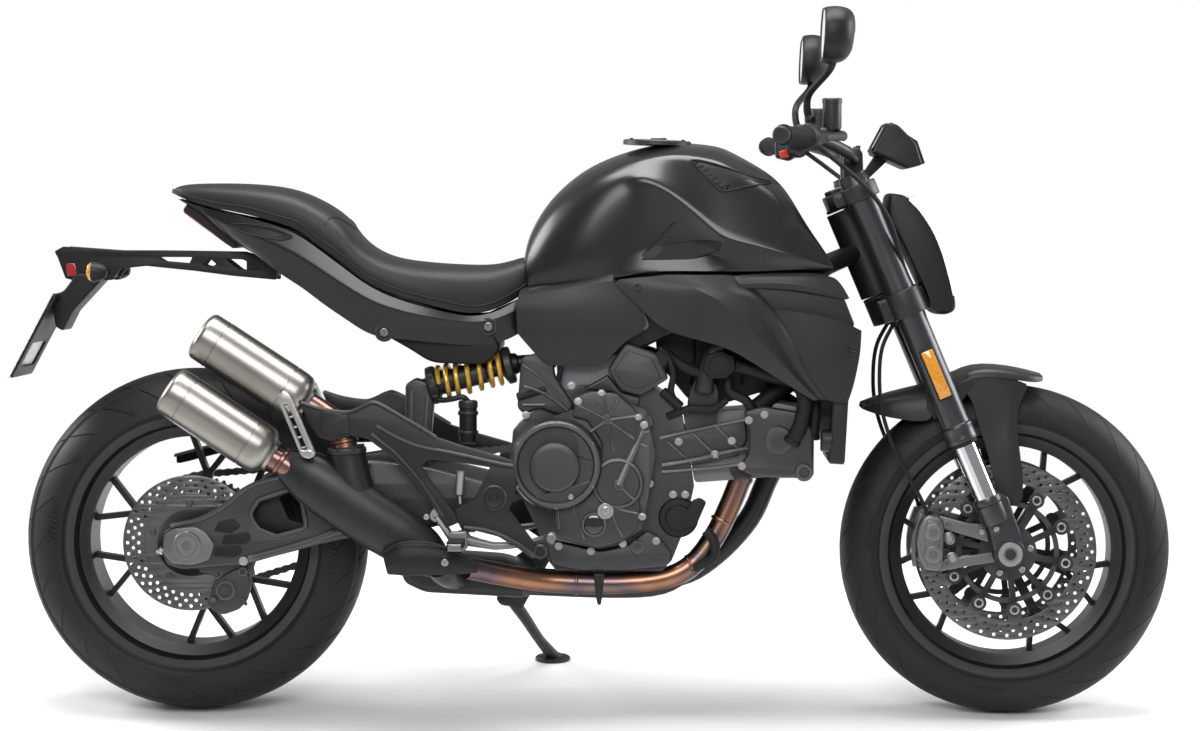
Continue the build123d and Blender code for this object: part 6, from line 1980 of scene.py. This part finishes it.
def make_shock():
    """The damper with its eyes, threaded collar rings, rod, spring seats and remote reservoir."""
    body = lathe([(10, 6), (16, 8), (16, 20), (33, 24), (34, 26), (34, 38), (32, 41), (22, 42), (21, 44), (21, 70),
                  (19.5, 71), (19.5, 72), (21, 73), (21, 130), (15, 132), (15, 158), (32, 166), (34, 168), (34, 178),
                  (31, 181), (20, 182), (18, 190), (12, 194)], SHOCK_START, SHOCK_DIRECTION, 40)
    notch = []
    side, other = ring_frame(SHOCK_DIRECTION)
    for k in range(10):
        a = math.tau * k / 10
        place = SHOCK_START + SHOCK_DIRECTION * 32 + (side * math.cos(a) + other * math.sin(a)) * 33
        notch.append(lathe([(3, -4), (3, 4)], place, SHOCK_DIRECTION, 8))
    eye = lathe([(10, 0), (17, 1), (18, 3), (18, 27), (17, 29), (10, 30)], (405, -65, 590), TO_LEFT, 32)
    eye_front = tube([(584, -50, 638), (610, -50, 642), (658, -50, 643)], [14, 12, 12], 20, 3)
    reservoir = lathe([(12, -2), (15.5, 0), (16, 3), (16, 62), (17.5, 63), (17.5, 73), (15, 76), (6, 76)],
                      (500, -72, 496), UPWARD, 36)
    bands = [band((500, -72, 510), UPWARD, 16, 8, 2.5), band((500, -72, 545), UPWARD, 16, 8, 2.5)]
    hose = tube([(500, -72, 570), (490, -74, 578), (470, -72, 574), (450, -68, 572), (437, -66, 580), (430, -58, 590)],
                5, 12, 5)
    return [body, eye, eye_front, reservoir, hose, *notch, *bands]


piece("shock_body", make_shock(), "chassis", "black_casting", replaces=["shock_absorber"])


def make_spring():
    """The coil between its seats, with closed ends."""
    start = SHOCK_START + SHOCK_DIRECTION * 44
    length, turns, count = 120.0, 6.5, 190
    side, other = ring_frame(SHOCK_DIRECTION)
    line = []
    for k in range(count + 1):
        t = k / count
        pitch = t - 0.035 * math.sin(math.tau * t)
        a = math.tau * turns * t
        line.append(start + SHOCK_DIRECTION * (length * pitch) + (side * math.cos(a) + other * math.sin(a)) * 29)
    return tube(line, 4.6, 10, 1, straight=True)


GOLD_SPRING = grained("spring_gold", (0.62, 0.36, 0.05), 0.32, metallic=0.45, coat=0.4, grain=0.1)
piece("shock_coil", [make_spring()], "chassis", "gold", material=GOLD_SPRING, replaces=["shock_spring"])


# ---------------------------------------------------------------- plate holder, lamps and plate
def make_plate_holder():
    """The two cut-out rails, the box that holds the lamp, and the neck down to the plate."""
    rail = [(149, 816), (120, 828), (86, 839), (-60, 841), (-140, 841), (-240, 848), (-256, 839), (-250, 828),
            (-236, 790), (-220, 786), (-150, 787), (-135, 808), (-90, 813), (0, 804), (70, 795), (149, 788)]
    holes = [[(-72, 829), (-4, 829), (-10, 817), (-60, 821)], [(14, 815), (25, 829), (40, 816), (28, 811)],
             [(56, 826), (88, 825), (122, 806), (82, 806)]]
    right = side_plate(rail, -34, -27, [rounded(h, 3) for h in holes], bevel=1.2, corner=3)
    parts = [
        right,
        mirrored(right),
        side_plate([(-140, 837), (-238, 845), (-252, 836), (-238, 792), (-150, 791)], -28, 28, bevel=3, corner=3),
        side_plate([(-160, 797), (-215, 799), (-238, 768), (-249, 762), (-259, 742), (-254, 702), (-240, 694),
                    (-222, 730)], -40, 40, bevel=4, corner=5),
    ]
    for x, z in ((-100, 828), (48, 816), (100, 815)):
        parts.append(rod_part((x, -27, z), (x, 27, z), 5))
    parts.append(side_plate([(94, 800), (94, 829), (149, 812), (149, 794)], -30, 30, bevel=2))
    tilt = math.radians(28)
    down = Vector((-math.sin(tilt), 0, -math.cos(tilt)))
    out = Vector((math.cos(tilt), 0, -math.sin(tilt)))
    base = Vector((-250, 0, 765)) + out * 3
    place = tilted_plane(base, down, out)
    parts.append(flat(rounded([(-88, 1), (88, 1), (88, 171), (-88, 171)], 6),
                      [rounded([(-60, 100), (60, 100), (60, 150), (-60, 150)], 8)], 4, 0.8,
                      place @ Matrix.Translation((0, 0, 2.5))))
    return parts


piece("plate_holder", make_plate_holder(), "chassis", "black_casting", material=PLASTIC, replaces=["plate_bracket"])
red_side = shaped(side_plate([(-232, 794), (-234, 817), (-218, 817), (-214, 795)], -36.5, -33, bevel=1))
piece("side_reflectors", [both(red_side)], "chassis", "red_lens")
screws = [bolt((-262, y, 742), (-0.883, 0, 0.469), 5, 3) for y in (-60, 60)]
piece("plate_screws", screws, "chassis", "steel", material=BOLT)


def make_tail_lamp():
    """The slanted rear lamp: a dark housing, and a red lens with a raised rim and vertical ribs."""
    housing = side_plate([(-18, 914), (-10, 926), (70, 898), (82, 852), (74, 844)], -58, 58, bevel=4, corner=4)
    a, b = Vector((-21, 0, 916)), Vector((72, 0, 847))
    along = (b - a).normalized()
    out = Vector((along.z, 0, -along.x))
    place = tilted_plane(a, along, out)
    length = (b - a).length
    lens_parts = [flat(rounded([(-54, 3), (54, 3), (46, length - 4), (-46, length - 4)], 12), (), 6, 2,
                       place @ Matrix.Translation((0, 0, -0.5)))]
    for k in range(9):
        y = -40 + 10 * k
        p, q = place @ Vector((y, 12, 2.4)), place @ Vector((y * 0.86, length - 14, 2.4))
        lens_parts.append(tube([p, q], 1.4, 8, 1))
    return housing, lens_parts


tail_housing, tail_lens = make_tail_lamp()
piece("tail_lamp_housing", [tail_housing], "chassis", "black_plastic", replaces=["tail_light"])
piece("tail_lamp_lens", tail_lens, "chassis", "red_lens")


def make_indicator():
    """A small rear indicator: rubber stalk, tapered body and an amber lens that faces back."""
    x, y, z = -163, -116, 803
    stalk = tube([(x, -33, z), (x, -60, z), (x, -100, z)], [9, 7, 6], 16, 4)
    rings = [band((x, -42 - 9 * k, z), TO_RIGHT, 7.4, 3, 1.2) for k in range(4)]
    body = lathe([(4, 19), (9, 17), (14, 10), (17.5, 0), (18.5, -8), (17.5, -9), (5, -9)], (x, y, z), FORWARD, 32)
    amber = lathe([(17, -8), (17, -10), (14, -15), (8, -18), (2, -18.6)], (x, y, z), FORWARD, 32)
    return joined([stalk, squeezed(body, y, 1.05), *rings]), amber


indicator_body, indicator_lens = make_indicator()
piece("indicator_bodies", [both(indicator_body)], "chassis", "black_plastic", replaces=["rear_indicators"])
piece("indicator_lenses", [both(indicator_lens)], "chassis", "amber_lens")


# ---------------------------------------------------------------- foot controls and side stand
def make_foot_controls():
    """The brake and gear levers with their ribbed toe pegs, and the linkage rods."""
    parts = []
    for side, z in ((-1, 336), (1, 342)):
        line = [(495, side * 161.7, 330), (530, side * 161.7, 322), (560, side * 161.7, 318),
                (610, side * 161.7, 323), (640, side * 166, z - 4), (654, side * 180, z)]
        arm = tube(line, [11, 8, 7, 6, 6, 7], 16, 5)
        parts += [
            squeezed(arm, side * 161.7, 0.9),
            lathe([(15, 0), (16, 2), (16, 12), (14, 14), (6, 14)], (495, side * 155, 330), (0, side, 0), 28),
        ]
        toe = [(6, 0), (8, 1)]
        for k in range(6):
            toe += [(8.6, 2 + 5 * k), (8.6, 4.4 + 5 * k), (7.2, 5 + 5 * k), (7.2, 6.4 + 5 * k)]
        toe += [(8.6, 33), (7, 35)]
        parts.append(lathe(toe, (655, side * 176, z), (0, side, 0), 24))
    parts.append(rod_part((495, 150, 350), (612, 128, 452), 4))
    return parts


piece("foot_levers", make_foot_controls(), "chassis", "black_casting", material=GREY_METAL,
      replaces=["foot_controls"])
cylinder = [
    rod_part((492, -164, 392), (488, -160, 446), 3.2),
    rod_part((493, -164, 452), (490, -164, 408), 8),
    rod_part((450, -164, 372), (478, -164, 330), 7),
    lathe([(13, 0), (13, 8), (11, 10), (7, 10), (6, 7)], (450, -158, 372), TO_RIGHT, 28),
]
piece("brake_rod_parts", cylinder, "chassis", "steel", material=BOLT)

STAND_PIVOT = Vector((560, 126, 205))
STAND_AXIS = Vector((0, 0.876, 0.482)).normalized()
STAND_FOOT = Vector((640, 285, 285 * math.tan(LEAN)))
PAD_LONG, PAD_NARROW = 1.2, 0.86


def make_stand():
    """The bent leg, the oval pad that lies flat on the floor, and the eye round the pivot."""
    leg = tube([STAND_PIVOT, STAND_PIVOT + Vector((12, 22, -26)), STAND_PIVOT + Vector((32, 60, -62)),
                STAND_PIVOT.lerp(STAND_FOOT, 0.7), STAND_FOOT + Vector((0, -3, 9))], [15, 12.5, 11, 10, 12], 20, 6)
    points, faces = lathe([(26, 0), (28, 1.5), (28, 6), (26, 8), (14, 9), (12, 14)], STAND_FOOT,
                          (0, -math.sin(LEAN), math.cos(LEAN)), 40)
    pad = []
    for p in points:
        x, y, z = p - STAND_FOOT
        # Along the sloping floor a point that moves inward also sinks.
        pad.append(STAND_FOOT + Vector((x * PAD_LONG, y * PAD_NARROW, z - y * (1 - PAD_NARROW) * math.tan(LEAN))))
    eye = lathe([(9, -12), (17, -12), (18, -10), (18, 10), (17, 12), (9, 12)], STAND_PIVOT, STAND_AXIS, 36)
    return [leg, (pad, faces), eye]


piece("side_stand_leg", make_stand(), "side_stand", "black_casting", replaces=["side_stand"])


GENERATOR_X, GENERATOR_Z = 690, 445
GENERATOR_BOLTS = around(86, 8, 22.5)


def make_generator_cover():
    """The round cover of the left side, the bosses of its bolts and the ribs of its face."""
    parts = [lathe([(88, -4), (88, 8), (85, 26), (79, 34), (62, 37), (58, 33), (40, 33), (36, 37), (5, 38)],
                   (GENERATOR_X, 111, GENERATOR_Z), TO_LEFT, 96)]
    for a, b in GENERATOR_BOLTS:
        parts.append(lathe([(11, -4), (11, 20), (9, 22), (5, 22)], (GENERATOR_X + a, 111, GENERATOR_Z + b),
                           TO_LEFT, 20))
    for ends in zip(around(60, 9), around(38, 9)):
        line = [(GENERATOR_X + a, 146, GENERATOR_Z + b) for a, b in ends]
        parts.append(squeezed(tube(line, 2.6, 8, 1), 146, 1.2))
    return parts


piece("generator_cover", make_generator_cover(), "chassis", "grey_casting", replaces=["engine_side_covers"])
generator_bolts = [bolt((GENERATOR_X + a, 132, GENERATOR_Z + b), TO_LEFT, 5, 4.5, socket=False)
                   for a, b in GENERATOR_BOLTS]
piece("generator_bolts", generator_bolts, "chassis", "steel", material=BOLT)
